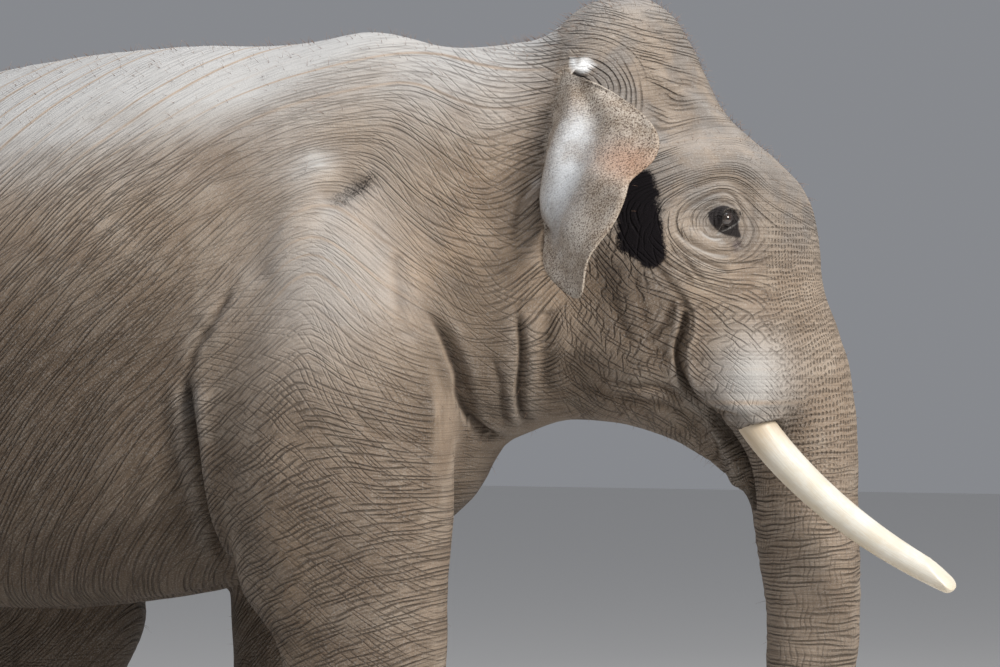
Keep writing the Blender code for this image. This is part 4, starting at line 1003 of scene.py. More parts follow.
def build_skin():
    """The skin with its folds; returns its arrays and what the finish reads."""
    points, faces = skin_arrays()
    around = Neighbours(faces, len(points))
    ear, across, down = ear_places(points)
    ear_joint = ear * smooth(0.16, 0.04, across)
    body = in_body(points)
    tail_root = bell(np.linalg.norm(body - (-2.02, 0, 2.18), axis=1), 0.16)
    points = around.ease(points, 6, np.clip(1 - ear + ear_joint, 0, 1))
    points = points + (around.blur(points, 8) - points) * np.clip(tail_root, 0, 1)[:, None]
    normals = normals_of(points, faces)
    head, body = in_head(points), in_body(points)
    square = normals @ HEAD_AXES.T
    off_ear = 1 - smooth(0.2, 0.7, ear)
    outer = square[:, 1] * np.sign(head[:, 1])
    facing = smooth(0.02, 0.30, outer) * off_ear * (body[:, 0] > 0.3)
    shade = np.zeros(len(points))
    depth = pressed(head[:, [0, 2]], facing, FACE_FOLDS, np.zeros(len(points)), shade)
    facing = smooth(0.10, 0.40, normals[:, 1] * np.sign(body[:, 1])) * off_ear
    facing = facing * smooth(0.82, 0.74, body[:, 0])
    depth = pressed(body[:, [0, 2]], facing, BODY_FOLDS, depth, shade)
    metres, aside = trunk_share(points)
    on_trunk = smooth(0.62, 0.85, metres) * smooth(0.30, 0.22, aside) * (body[:, 0] > 0.9)
    rings = np.sin(2 * np.pi * (metres / 0.042 + 1.2 * cloud(points, 0.11, 3)))
    depth += 0.0016 * rings * on_trunk
    depth += 0.0045 * cloud(points, 0.17, 5) * (1 - ear)
    depth += 0.0016 * cloud(points, 0.05, 6) * (1 - ear)
    depth += toes(points)
    belly = smooth(-0.3, -0.8, normals[:, 2]) * (body[:, 0] < 0) * (body[:, 0] > -1.1)
    depth += -0.010 * belly * bell(body[:, 2] - 1.2, 0.2) * bell(np.abs(body[:, 1]) - 0.10, 0.03)
    points = points + normals * depth[:, None]
    points = sockets(points)
    points = trunk_tip(points)
    points = lids(points, ear)
    points[:, 2] = np.maximum(points[:, 2], 0.0)
    return points, faces, dict(ear=ear, across=across, down=down, metres=metres, aside=aside,
                               around=around, shade=shade)


# ---------------------------------------------------------------- shader tools
class Value:
    """A shader socket that takes part in sums: each operator adds a Math node."""

    def __init__(self, shader, socket):
        self.shader = shader
        self.socket = socket

    def _math(self, operation, first, second=None):
        inputs = {0: first}
        if second is not None:
            inputs[1] = second
        return self.shader.node("ShaderNodeMath", {"operation": operation}, inputs)

    def __add__(self, other):
        return self._math("ADD", self, other)

    __radd__ = __add__

    def __mul__(self, other):
        return self._math("MULTIPLY", self, other)

    __rmul__ = __mul__

    def __sub__(self, other):
        return self._math("SUBTRACT", self, other)

    def __rsub__(self, other):
        return self._math("SUBTRACT", other, self)

    def __truediv__(self, other):
        return self._math("DIVIDE", self, other)

    def __rtruediv__(self, other):
        return self._math("DIVIDE", other, self)

    def sine(self):
        """Its sine, in radians."""
        return self._math("SINE", self)

    def size(self):
        """Its value without its sign."""
        return self._math("ABSOLUTE", self)

    def most(self, other):
        """The greater of two."""
        return self._math("MAXIMUM", self, other)

    def step(self, low, high):
        """An eased step from 0 at low to 1 at high; low may be the larger."""
        if low > high:
            return 1.0 - self.step(high, low)
        return self.shader.node("ShaderNodeMapRange",
                                {"interpolation_type": "SMOOTHSTEP"},
                                {"Value": self, "From Min": low, "From Max": high})


class Shader:
    """One material's nodes, made by one method."""

    def __init__(self, name):
        self.material = bpy.data.materials.new(name)
        self.material.use_nodes = True
        self.tree = self.material.node_tree
        self.surface = self.tree.nodes["Principled BSDF"]

    def node(self, kind, settings=None, inputs=None, output=0):
        """A node of the kind: its settings first, then its sockets' values or links."""
        made = self.tree.nodes.new(kind)
        for name, value in (settings or {}).items():
            setattr(made, name, value)
        for name, value in (inputs or {}).items():
            self.put(made.inputs[name], value)
        return Value(self, made.outputs[output])

    def put(self, socket, value):
        """Links a socket or sets its value."""
        if isinstance(value, Value):
            self.tree.links.new(value.socket, socket)
        elif isinstance(value, tuple) and len(value) == 3 and len(socket.default_value) == 4:
            socket.default_value = (*value, 1.0)
        else:
            socket.default_value = value

    def set(self, **sockets):
        """Values or links of the surface's own sockets, named with _ for a space."""
        for name, value in sockets.items():
            self.put(self.surface.inputs[name.replace("_", " ")], value)
        return self.material

    def place(self):
        """Object coordinates."""
        return self.node("ShaderNodeTexCoord", output=3)

    def mapped(self, vector, scale=(1.0, 1.0, 1.0), shift=(0.0, 0.0, 0.0)):
        """A vector through a Mapping node: scaled, then shifted."""
        return self.node("ShaderNodeMapping", {"vector_type": "POINT"},
                         {"Vector": vector, "Scale": scale, "Location": shift})

    def attribute(self, name):
        """The vector that an attribute holds."""
        return self.node("ShaderNodeAttribute", {"attribute_name": name}, output=1)

    def parts(self, vector):
        """The three numbers of a vector."""
        made = self.tree.nodes.new("ShaderNodeSeparateXYZ")
        self.put(made.inputs[0], vector)
        return [Value(self, out) for out in made.outputs]

    def noise(self, vector, scale, detail=2.0, rough=0.5):
        """Soft noise, 0 to 1."""
        return self.node("ShaderNodeTexNoise", {}, {"Vector": vector, "Scale": scale,
                                                    "Detail": detail, "Roughness": rough})

    def flat_noise(self, across, up):
        """Soft noise of two numbers, 0 to 1."""
        spot = self.node("ShaderNodeCombineXYZ", {}, {0: across, 1: up})
        return self.node("ShaderNodeTexNoise", {"noise_dimensions": "2D"},
                         {"Vector": spot, "Scale": 1.0, "Detail": 0.0})

    def furrows(self, lie, way, gap, run, seed, width, least=0.3):
        """Pads at 1 between furrows at 0: long thin lines along the level lines of a map.

        A line lies at each turn of lie / gap. Noise that changes quickly from line to line and slowly
        along them, over the run, spreads, joins and parts them. Every line deepens and fades along
        its own way, and keeps at least its least depth.
        """
        turns = lie / gap + self.flat_noise(lie * (0.34 / gap), way / run + seed) * 1.3 + seed
        number = self._floor(turns)
        off = (turns - number - 0.5).size() * 2.0
        start = (number * 12.9898 + seed).sine() * 43.0
        fade = (start + way * (2.4 / run) + off).sine() * 0.5 + 0.5
        shown = fade.step(0.05, 0.80) * (1.0 - least) + least
        return 1.0 - (1.0 - off.step(0.0, width)) * shown

    def _floor(self, value):
        return self.node("ShaderNodeMath", {"operation": "FLOOR"}, {0: value})

    def spots(self, vector, scale):
        """Distance to the nearest of many scattered points."""
        return self.node("ShaderNodeTexVoronoi", {"feature": "F1"},
                         {"Vector": vector, "Scale": scale})

    def blend(self, share, first, second):
        """First colour where share is 0, second where it is 1."""
        made = self.tree.nodes.new("ShaderNodeMix")
        made.data_type = "RGBA"
        self.put(made.inputs["Factor"], share)
        self.put(made.inputs[6], first)
        self.put(made.inputs[7], second)
        return Value(self, made.outputs[2])

    def bump(self, height, depth):
        """A Bump node of that height, its full range depth metres."""
        return self.node("ShaderNodeBump", {}, {"Height": height, "Distance": depth, "Strength": 1.0})


# ---------------------------------------------------------------- finishes
def skin_finish():
    """Grey-brown hide: pads between furrows, the furrows darkened by dirt and painted shade, a painted
    highlight above, painted shade below and in hollows, dusty patches, stains.
    """
    s = Shader("elephant hide")
    along, crosswise, ring = s.parts(s.attribute("lie"))
    parted, steep, grey = s.parts(s.attribute("lie_face"))
    of_ring, of_face, of_temple = s.parts(s.attribute("share"))
    arc, swept, weave = s.parts(s.attribute("arcs"))
    calm, of_pits, girth = s.parts(s.attribute("finish"))
    lit, dark, tan = s.parts(s.attribute("tone"))
    ear, pink, column = s.parts(s.attribute("ear_tone"))
    hollow, lid_rim, rounded = s.parts(s.attribute("hollow"))
    low, slit_shadow, white = s.parts(s.attribute("spots"))
    net, tear, _ = s.parts(s.attribute("nets"))
    here = s.place()
    grit = s.noise(here, 230.0, 1.0, 0.6)
    uneven = s.noise(here, 28.0, 0.0, 0.6)

    line = s.furrows(along, crosswise, LINE_GAP, 0.070, 7.7, 0.60, 0.25)
    cross = s.furrows(crosswise, along, CROSS_GAP, 0.060, 3.1, 0.56, 0.08)
    fibre = s.flat_noise(along / 0.0048, crosswise / 0.020)
    deep = s.furrows(along, crosswise, STREAK_GAP, 0.300, 2.2, 0.24, 0.0)
    hide = line * (1.0 - (1.0 - cross) * 0.62)
    hide = hide * (0.66 + deep * 0.34)
    hoops = (s.furrows(ring, girth, HOOP_GAP, 0.070, 1.3, 0.64)
             * (1.0 - (1.0 - s.furrows(girth, ring, HOOP_CROSS_GAP, 0.050, 5.9, 0.58, 0.40))
                * (0.42 + net * 0.34)))
    face = (s.furrows(parted, steep, FACE_GAP, 0.030, 9.2, 0.58, 0.04)
            * (1.0 - (1.0 - s.furrows(steep, parted, FACE_CROSS_GAP, 0.028, 2.4, 0.58, 0.04))
               * weave))
    arcs = s.furrows(arc, swept, ARC_GAP, 0.160, 4.5, 0.50)
    height = hide + (hoops - hide) * of_ring
    height = height + (face - height) * of_face
    height = height + (arcs - height) * of_temple
    wobble = uneven * 7.0
    rows = (ring * (2 * math.pi / PIT_GAP[0]) + wobble).sine() * 0.5 + 0.5
    columns = (girth * (2 * math.pi / PIT_GAP[1]) + wobble).sine() * 0.5 + 0.5
    pit = (rows * columns * (grit * 0.6 + 0.7)).step(0.30, 0.80) * of_pits
    height = height + (0.90 - height) * calm.most(of_pits * 0.55).most(white) * 0.97
    height = height - pit * 0.75
    relief = height + grit * 0.30 + uneven * 0.30 + fibre * 0.30
    normal = s.bump(relief, HIDE_DEPTH)

    broad = s.noise(here, 2.4, 1.0, 0.6)
    patch = s.noise(s.mapped(here, shift=(3.0, 8.0, 1.0)), 9.5, 2.0, 0.62)
    colour = s.blend(broad.step(0.30, 0.70), SKIN_DEEP, SKIN_MAIN)
    colour = s.blend(patch.step(0.42, 0.74) * 0.45, colour, SKIN_PALE)
    colour = s.blend(tan * patch.step(0.30, 0.65) * 0.8, colour, SKIN_TAN)
    # painted shade below, and the darker cheek
    colour = s.blend(low * 0.85, colour, SKIN_SHADE_BELOW)
    colour = s.blend(grey * (0.40 + patch.step(0.62, 0.38) * 0.45), colour, SKIN_GREY)
    # painted highlight, turning tan along the deep streaks, and painted highlight on convex bends
    colour = s.blend(lit, colour, SKIN_LIT)
    colour = s.blend((1.0 - deep) * lit * 0.70, colour, SKIN_TAN)
    colour = s.blend(rounded * 0.30, colour, SKIN_LIT)
    # furrows and fine fibre lines darkened: dirt in them, and painted shade
    furrow = 1.0 - height.step(0.05, 0.95)
    colour = s.blend(furrow * (1.0 - calm * 0.78) * 0.58, colour, SKIN_FURROW)
    colour = s.blend(grit.step(0.48, 0.72) * 0.22, colour, SKIN_LIT)
    colour = s.blend(fibre.step(0.50, 0.30) * 0.30 * (1.0 - calm * 0.6), colour, SKIN_FURROW)
    freckle = s.spots(here, 150.0).step(0.46, 0.24)
    ear_colour = s.blend(patch.step(0.35, 0.7), EAR_MAIN, EAR_PALE)
    ear_colour = s.blend(grit.step(0.46, 0.62) * 0.55, ear_colour, EAR_PALE)
    ear_colour = s.blend(pink, ear_colour, EAR_PINK)
    specks = (freckle * 0.72 + grit.step(0.48, 0.36) * 0.30) * (1.0 - column * 0.6)
    ear_colour = s.blend(specks, ear_colour, EAR_DOT)
    # painted highlight where the bulge along the ear faces the sky
    ear_colour = s.blend(column * (0.40 + patch.step(0.30, 0.62) * 0.36), ear_colour, EAR_SKY_HIGHLIGHT)
    ear_colour = s.blend((1.0 - grit.step(0.30, 0.5)) * 0.25, ear_colour, EAR_DOT)
    colour = s.blend(ear, colour, ear_colour)
    # near-black painted shade of the hollows by the temple and before the shoulder, and the stain below
    # the ear
    shade_and_stain = (dark + (patch + grit - 1.0) * dark.step(0.0, 0.25) * 0.8).step(0.22, 0.80)
    colour = s.blend(shade_and_stain, colour, SKIN_SHADE_AND_STAIN)
    # painted shade in hollows and on fold floors, and a little at the ear's rim
    colour = s.blend(hollow * 0.80, colour, SKIN_SHADE)
    colour = s.blend(tear * patch.step(0.25, 0.55), colour, TEAR_STAIN)
    # dark bare lid margin, also painted shade over the lid's edge
    colour = s.blend(lid_rim * 0.95, colour, LID_DARK)
    colour = s.blend(white, colour, EAR_WHITE)
    # painted shadow in the slit at the ear's top
    colour = s.blend(slit_shadow, colour, SKIN_SHADE_AND_STAIN)
    return s.set(Base_Color=colour, Normal=normal, Roughness=0.78 + shade_and_stain * 0.20 - lid_rim * 0.10,
                 Specular_IOR_Level=0.14)


def ivory_finish():
    """Cream ivory: yellow and brown towards the socket and below, fine cracks along it."""
    s = Shader("tusk ivory")
    along, around, low = s.parts(s.attribute("tusk"))
    grain = s.node("ShaderNodeCombineXYZ", {}, {0: along * 9.0, 1: around * 34.0, 2: 0.0})
    streak = s.noise(grain, 1.0, 4.0, 0.6)
    here = s.place()
    cloudy = s.noise(here, 14.0, 3.0, 0.6)
    colour = s.blend(cloudy.step(0.3, 0.7), (0.560, 0.525, 0.445), (0.620, 0.605, 0.555))
    colour = s.blend(low * 0.45, colour, (0.540, 0.400, 0.220))
    stain = (along + (streak - 0.5) * 0.10).step(0.12, 0.0)
    colour = s.blend(stain * 0.42, colour, (0.430, 0.270, 0.120))
    line = (1.0 - (streak - 0.5).size().step(0.0, 0.045)) * 0.35
    colour = s.blend(line, colour, (0.520, 0.400, 0.250))
    tip = along.step(0.60, 0.66)
    colour = s.blend(tip * 0.4, colour, (0.600, 0.520, 0.400))
    normal = s.bump(streak * 0.7 + cloudy * 0.3, 0.0012)
    return s.set(Base_Color=colour, Normal=normal, Roughness=0.36 + streak * 0.12,
                 Coat_Weight=0.25, Coat_Roughness=0.25)


def nail_finish():
    """Horn of the toenails: grey-tan, ridged upwards, with paler ridges and darker clouds."""
    s = Shader("toenail horn")
    here = s.place()
    ridged = s.noise(s.mapped(here, (60.0, 60.0, 8.0)), 1.0, 3.0, 0.6)
    cloudy = s.noise(here, 30.0, 3.0, 0.6)
    colour = s.blend(ridged.step(0.3, 0.7), (0.330, 0.262, 0.190), (0.520, 0.445, 0.350))
    colour = s.blend(cloudy.step(0.5, 0.75) * 0.5, colour, (0.200, 0.150, 0.110))
    normal = s.bump(ridged * 0.7 + cloudy * 0.3, 0.0018)
    return s.set(Base_Color=colour, Normal=normal, Roughness=0.55)


def eye_finish():
    """Eyeball: black pupil, amber-brown iris with fine spokes, dark ring, brown-red white; wet."""
    s = Shader("elephant eye")
    off, turn, _ = s.parts(s.attribute("gaze"))
    spokes = s.noise(s.node("ShaderNodeCombineXYZ", {}, {0: turn * 22.0, 1: off * 3.0, 2: 0.0}),
                     1.0, 3.0, 0.7)
    iris = s.blend(spokes.step(0.3, 0.7), (0.016, 0.008, 0.005), (0.045, 0.022, 0.012))
    iris = s.blend(off.step(0.44, 0.56), iris, (0.012, 0.007, 0.005))
    colour = s.blend(off.step(0.54, 0.66), iris, (0.022, 0.015, 0.014))
    colour = s.blend(off.step(0.21, 0.17), colour, (0.003, 0.003, 0.003))
    return s.set(Base_Color=colour, Roughness=0.16, Coat_Weight=1.0, Coat_Roughness=0.03)


def hair_finish(name, root, tip):
    """Stiff hair: darker at the root, paler at the tip, shade by the strand."""
    s = Shader(name)
    along, strand, _ = s.parts(s.attribute("strand"))
    colour = s.blend(along.step(0.1, 1.0), root, tip)
    colour = s.blend(strand * 0.5, colour, tuple(v * 0.45 for v in root))
    return s.set(Base_Color=colour, Roughness=0.48)


# ---------------------------------------------------------------- what the finishes read
def store(item, name, values):
    """A point attribute of the item's mesh: one number, or three."""
    values = np.asarray(values, np.float32)
    if values.ndim == 1:
        made = item.data.attributes.new(name, "FLOAT", "POINT")
        made.data.foreach_set("value", values)
    else:
        made = item.data.attributes.new(name, "FLOAT_VECTOR", "POINT")
        made.data.foreach_set("vector", values.ravel())


def round_leg(points):
    """Way round the nearest leg, in metres, counted from its outer side."""
    feet = np.array([middle_of(f"{pair}foot_{side}") for pair in ("fore", "hind") for side in SIDES])
    off = points[:, None, :2] - feet[None, :, :2]
    nearest = np.linalg.norm(off, axis=2).argmin(1)
    off = off[np.arange(len(points)), nearest]
    return np.arctan2(off[:, 0], off[:, 1] * np.sign(feet[nearest, 1])) * 0.22


def skin_marks(points, faces, known):
    """Attributes of the skin: the lie of its furrows and where each colour and finish sits."""
    around, ear = known["around"], known["ear"]
    head, body = in_head(points), in_body(points)
    normals = normals_of(points, faces)
    square = normals @ HEAD_AXES.T
    metres, aside = known["metres"], known["aside"]
    outer = square[:, 1] * np.sign(head[:, 1])
    sideways = smooth(0.15, 0.5, outer)
    # the lie of the furrows, in metres square to them: body, body crosswise, rings of trunk and legs
    along, crosswise = body_lie(body[:, 0], body[:, 2])
    on_trunk = smooth(0.30, 0.24, aside) * smooth(-0.20, -0.05, head[:, 0])
    on_trunk = on_trunk * smooth(0.20, 0.60, metres) * (head[:, 2] < -0.05)
    ring = np.where(metres * (head[:, 0] > -0.3) > 0.02, -metres, head[:, 2])
    marks = {"lie": np.stack((along, crosswise, ring), 1)}
    parted, steep = face_lie(head[:, 0], head[:, 2])
    grey = smooth(-0.52, -0.40, head[:, 0]) * smooth(-0.20, 0.02, head[:, 2]) * (body[:, 0] > 0.55)
    marks["lie_face"] = np.stack((parted, steep, grey * (1 - ear)), 1)
    # close crosswise lines on shoulder and arm, the stain of tears
    net = smooth(-0.26, -0.14, body[:, 0]) * smooth(0.75, 0.60, body[:, 0])
    net = net * smooth(2.15, 1.85, body[:, 2])
    tear = bell(np.hypot((head[:, 0] - 0.030) * 1.2, (head[:, 2] + 0.068) * 0.8), 0.014) * sideways
    marks["nets"] = np.clip(np.stack((net, tear, 0 * tear), 1), 0, 1)
    legs = smooth(1.20, 0.80, body[:, 2]) * (1 - on_trunk)
    tail = smooth(-2.05, -2.15, body[:, 0]) * smooth(0.22, 0.14, np.abs(body[:, 1]))
    rings = np.clip(np.maximum(np.maximum(on_trunk, legs), tail), 0, 1)
    face = smooth(-0.47, -0.40, head[:, 0]) * smooth(-0.80, -0.66, head[:, 2]) * (body[:, 0] > 0.55)
    # arcs round the ear's top, and how strongly crossing furrows show on the face
    arc = np.hypot(head[:, 0] + 0.383, head[:, 2] - 0.322)
    swept = np.arctan2(head[:, 2] - 0.322, head[:, 0] + 0.383) * 0.2
    temple = (smooth(0.205, 0.165, arc) * smooth(0.265, 0.315, head[:, 2])
              * smooth(-0.41, -0.36, head[:, 0]) * face * (1 - ear))
    weave = 0.25 + 0.50 * smooth(0.04, -0.12, head[:, 2])
    marks["share"] = np.stack((rings, face * (1 - on_trunk), temple), 1)
    marks["arcs"] = np.stack((arc, swept, weave), 1)
    # smooth hide, pits of the trunk's root, and the way round trunk and legs
    sheath = bell(np.hypot(head[:, 0] - 0.068, (head[:, 2] + 0.425) * 0.95), 0.104) * sideways
    brow = bell(np.hypot(head[:, 0] + 0.085, head[:, 2] - 0.165), 0.062) * sideways
    forehead = smooth(0.02, 0.14, head[:, 0]) * smooth(-0.02, 0.10, head[:, 2])
    bag = bell(np.hypot(head[:, 0] + 0.050, (head[:, 2] + 0.064) * 1.4), 0.066) * sideways
    dome = smooth(0.47, 0.60, head[:, 2]) * (head[:, 0] > -0.6)
    shoulder = bell(np.hypot(body[:, 0] - 0.190, (body[:, 2] - 2.140) * 0.9), 0.200) * sideways
    even = (smooth(-0.40, -0.05, body[:, 0]) * smooth(0.72, 0.55, body[:, 0])
            * smooth(1.70, 2.00, body[:, 2]) * sideways)
    foot = 2.40 + 0.22 * np.maximum(body[:, 0] + 0.74, 0) + 0.50 * np.maximum(body[:, 0] + 0.18, 0)
    back = smooth(-0.06, 0.12, body[:, 2] - foot) * smooth(0.40, 0.10, body[:, 0])
    ringed = bell(np.hypot(head[:, 0], head[:, 2]), 0.105) * sideways
    upper = (smooth(0.10, 0.17, head[:, 2]) * smooth(-0.16, -0.06, head[:, 0])
             * smooth(0.46, 0.38, head[:, 2]) * (body[:, 0] > 0.55))
    calm = (0.74 * back + 0.55 * upper + 0.94 * sheath + 0.35 * ringed + 0.75 * brow + 0.35 * dome
            + 0.60 * forehead + 0.85 * bag + 1.0 * ear + 0.36 * shoulder + 0.40 * even)
    calm = np.clip(calm, 0, 1)
    spread = smooth(0.50, 0.15, np.abs(normals[:, 1])) * smooth(1.45, 1.75, body[:, 2])
    calm = np.maximum(calm, 0.90 * spread * (1 - face) * (1 - on_trunk) * (body[:, 0] < 0.75))
    axis = np.interp(-head[:, 2], [-up for _, up in TRUNK[:9]], [ahead for ahead, _ in TRUNK[:9]])
    girth = np.arctan2(head[:, 1], head[:, 0] - np.minimum(axis, 0.10) + 0.02) * 0.20
    girth = np.where(head[:, 0] > -0.25, girth, round_leg(points))
    pits = (smooth(0.075, 0.140, head[:, 0]) * smooth(0.08, -0.04, head[:, 2])
            * smooth(-0.95, -0.50, head[:, 2]) * (1 - 0.8 * sheath))
    marks["finish"] = np.stack((calm, pits, girth), 1)
    # colours, with the highlight and shade painted into them
    # lit: painted highlight on hide that faces up, kept off a spot on the shoulder and off the head's
    # upper part
    lit = smooth(0.20, 0.95, normals[:, 2]) * smooth(1.7, 2.4, body[:, 2]) * 0.90
    lit = lit * (1 - 0.85 * bell(np.hypot(body[:, 0] - 0.270, body[:, 2] - 2.310), 0.110))
    lit = lit * (1 - 0.75 * (head[:, 0] > -0.45) * (head[:, 2] > 0))
    # more painted highlight on the sheath, shoulder and top of the back, and two small painted
    # highlights on the shoulder and by the arm's hind edge
    lit += 0.95 * sheath + 0.50 * shoulder + 0.40 * back
    lit += 0.30 * bell(np.hypot(body[:, 0] - 0.13, body[:, 2] - 2.44), 0.05) * sideways
    lit += 0.45 * bell(np.hypot(body[:, 0] + 0.185, (body[:, 2] - 1.800) * 0.6), 0.026) * sideways
    # near-black painted shade in the hollow by the temple, under the ear
    temple_hollow_shade = inside_outline(head[:, [0, 2]], (
        (-0.262, 0.105), (-0.228, 0.122), (-0.190, 0.118), (-0.176, 0.060), (-0.170, -0.010),
        (-0.163, -0.070), (-0.166, -0.112), (-0.198, -0.130), (-0.226, -0.106), (-0.262, -0.086),
        (-0.276, -0.040), (-0.274, 0.030)))
    dark = 1.15 * smooth(-0.020, 0.008, temple_hollow_shade) * sideways * (1 - ear)
    stain = bell(np.hypot((head[:, 0] + 0.265), (head[:, 2] + 0.150) * 0.80), 0.100)
    # painted shade in the hollow before the shoulder
    shoulder_hollow_shade = bell(np.hypot((body[:, 0] - 0.225) * 0.75, (body[:, 2] - 2.372) * 1.3
                           - (body[:, 0] - 0.225) * 0.8), 0.052)
    # dark: both painted shades, and the stain below the ear's lobe
    dark = np.maximum(dark, np.maximum(0.40 * stain * (1 - ear), 0.62 * shoulder_hollow_shade) * sideways)
    # tan: warmer tone on arm, feet and neck, at random, and the warm tint of the painted highlight on
    # the shoulder
    tan = 0.9 * bell(np.hypot((body[:, 0] - 0.12) * 1.4, (body[:, 2] - 1.32) * 0.6), 0.16)
    tan = tan + 0.30 * shoulder + 0.6 * smooth(0.30, 0.10, body[:, 2]) + 0.45 * cloud(points, 0.45, 11)
    tan = tan + 0.35 * bell(np.hypot(body[:, 0] - 0.47, body[:, 2] - 2.17), 0.10)
    marks["tone"] = np.clip(np.stack((lit, dark, tan), 1), 0, 1)
    across, down = known["across"], known["down"]
    pink = ear * bell(np.hypot(across - 0.90, (down - 0.37) * 2.2), 0.17)
    # column: painted highlight where the bulge along the ear faces the sky
    centre = 0.44 + 0.12 * np.sin(np.pi * down)
    column = ear * bell((across - centre) / (1 + 0.5 * down), 0.120) * smooth(0.10, 0.34, down)
    column = column * smooth(0.98, 0.80, down) * outer.clip(0, 1) ** 0.5
    rim = ear * smooth(0.965, 0.995, across)
    # painted shade below: underside, belly, jaw, foot of the neck, flank, and the darker cheek
    murk = smooth(-0.045, 0.035, inside_outline(head[:, [0, 2]], CHEEK_MURK)) * sideways
    low = np.maximum.reduce((
        smooth(0.30, -0.75, normals[:, 2]) * smooth(2.15, 1.45, body[:, 2]) * (body[:, 0] < 0.45),
        0.95 * smooth(1.80, 1.35, body[:, 2]) * smooth(-0.16, -0.24, body[:, 0]),
        0.70 * smooth(0.00, -0.60, normals[:, 2]) * (head[:, 2] < -0.35),
        0.90 * bell(np.hypot(body[:, 0] - 0.550, body[:, 2] - 1.800), 0.200) * sideways,
        0.85 * smooth(2.35, 1.90, body[:, 2]) * smooth(-0.02, -0.30, body[:, 0]),
        0.85 * murk * (1 - ear)))
    flat = head[:, [0, 2]]
    slit, _ = near_line(flat, EAR_SLIT, 0.03)
    # painted shadow in the slit at the ear's top
    slit_shadow = smooth(0.0065, 0.0030, slit) * (outer > 0.05) * (np.abs(head[:, 1]) > 0.28)
    white = smooth(-0.002, 0.004, inside_outline(flat, EAR_FLAP)) * (np.abs(head[:, 1]) > 0.28)
    marks["spots"] = np.clip(np.stack((low, slit_shadow, white * 0.9), 1), 0, 1)
    marks["ear_tone"] = np.stack((ear, pink * 0.75, column * 0.96), 1)
    # painted shade where the surface bends inwards and painted highlight where it bends outwards, for
    # its mesh's own step
    mean = around.mean(points)
    reach = np.linalg.norm(points[around.near] - points[around.far], axis=1)
    reach = np.bincount(around.near, reach, len(points)) / around.degree
    bend = np.einsum("ij,ij->i", mean - points, normals) / reach
    hollow = around.blur(np.clip(bend * 3.2, 0, 1), 2)
    rounded = around.blur(np.clip(-bend * 3.0, 0, 1), 2) * (1 - ear)
    eye = np.hypot(head[:, 0], head[:, 2])
    # dark bare lid margin, also painted shade over the lid's edge
    gap = inside_outline(np.stack((head[:, 0], head[:, 2]), 1), LID_MARGIN)
    lid_rim = smooth(-0.0035, 0.0010, gap) * (eye < 0.07) * sideways
    # painted shade: hollows, fold floors, and a little at the ear's rim
    under = np.maximum(np.maximum(hollow * (1 - 0.6 * ear), known["shade"]), 0.12 * rim)
    marks["hollow"] = np.stack((np.clip(under, 0, 1), lid_rim, rounded), 1)
    return marks


# ---------------------------------------------------------------- pieces
def make_skin():
    """The skin, in place of every node of flesh."""
    points, faces, known = build_skin()
    skin = add_object("skin", points, faces)
    for name, values in skin_marks(points, faces, known).items():
        store(skin, name, values)
    skin.data.materials.append(skin_finish())
    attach(skin, "root")
    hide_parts(*FLESH)
    print("skin", len(points), "points", len(faces), "triangles")
    return points, faces, known


def make_tusks():
    """Both tusks, with where along and round them each point lies."""
    finish = ivory_finish()
    for name in SIDES:
        points, faces = tusk_shell(name)
        tusk = add_object("ivory_" + name, points, faces)
        line, _ = tusk_line(SIDES[name], TUSK_SHOWN[name])
        length = np.linspace(-TUSK_SEATED, TUSK_SHOWN[name], len(line))
        head = in_head(points)
        nearest = np.linalg.norm(head[:, None] - line[None], axis=2).argmin(1)
        off = head - line[nearest]
        turn = np.arctan2(off[:, 1], off[:, 2])
        low = smooth(0.0, -0.035, off[:, 2])
        store(tusk, "tusk", np.stack((length[nearest], np.abs(turn) / np.pi, low), 1))
        tusk.data.materials.append(finish)
        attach(tusk, "root")
        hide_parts("tusk_" + name)


def make_eyes():
    """Both eyeballs: a sphere with the cornea standing out where it looks."""
    finish = eye_finish()
    for name, side in SIDES.items():
        gaze = unit(np.array((0.36, 0.93 * side, -0.05)))
        up = unit(np.array((0.0, 0.0, 1.0)) - gaze[2] * gaze)
        across = np.cross(up, gaze)
        polar = np.linspace(0.02, np.pi - 0.02, 41)
        turn = np.linspace(0, 2 * np.pi, 48, endpoint=False)
        swell = 1 + 0.055 * smooth(0.60, 0.20, polar)
        ring = (across * np.cos(turn)[:, None] + up * np.sin(turn)[:, None])[None]
        radius = EYE_RADIUS * 0.995 * swell[:, None, None]
        rings = radius * (ring * np.sin(polar)[:, None, None] + gaze * np.cos(polar)[:, None, None])
        points, faces = tube(rings)
        eye = add_object("eyeball_" + name, EYE_AT[name] + points @ HEAD_AXES, faces)
        looks = unit(points)
        off = np.arccos(np.clip(looks @ gaze, -1, 1))
        round_it = np.arctan2(looks @ up, looks @ across)
        store(eye, "gaze", np.stack((off, np.abs(round_it), 0 * off), 1))
        eye.data.materials.append(finish)
        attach(eye, "root")
        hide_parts("eye_" + name)


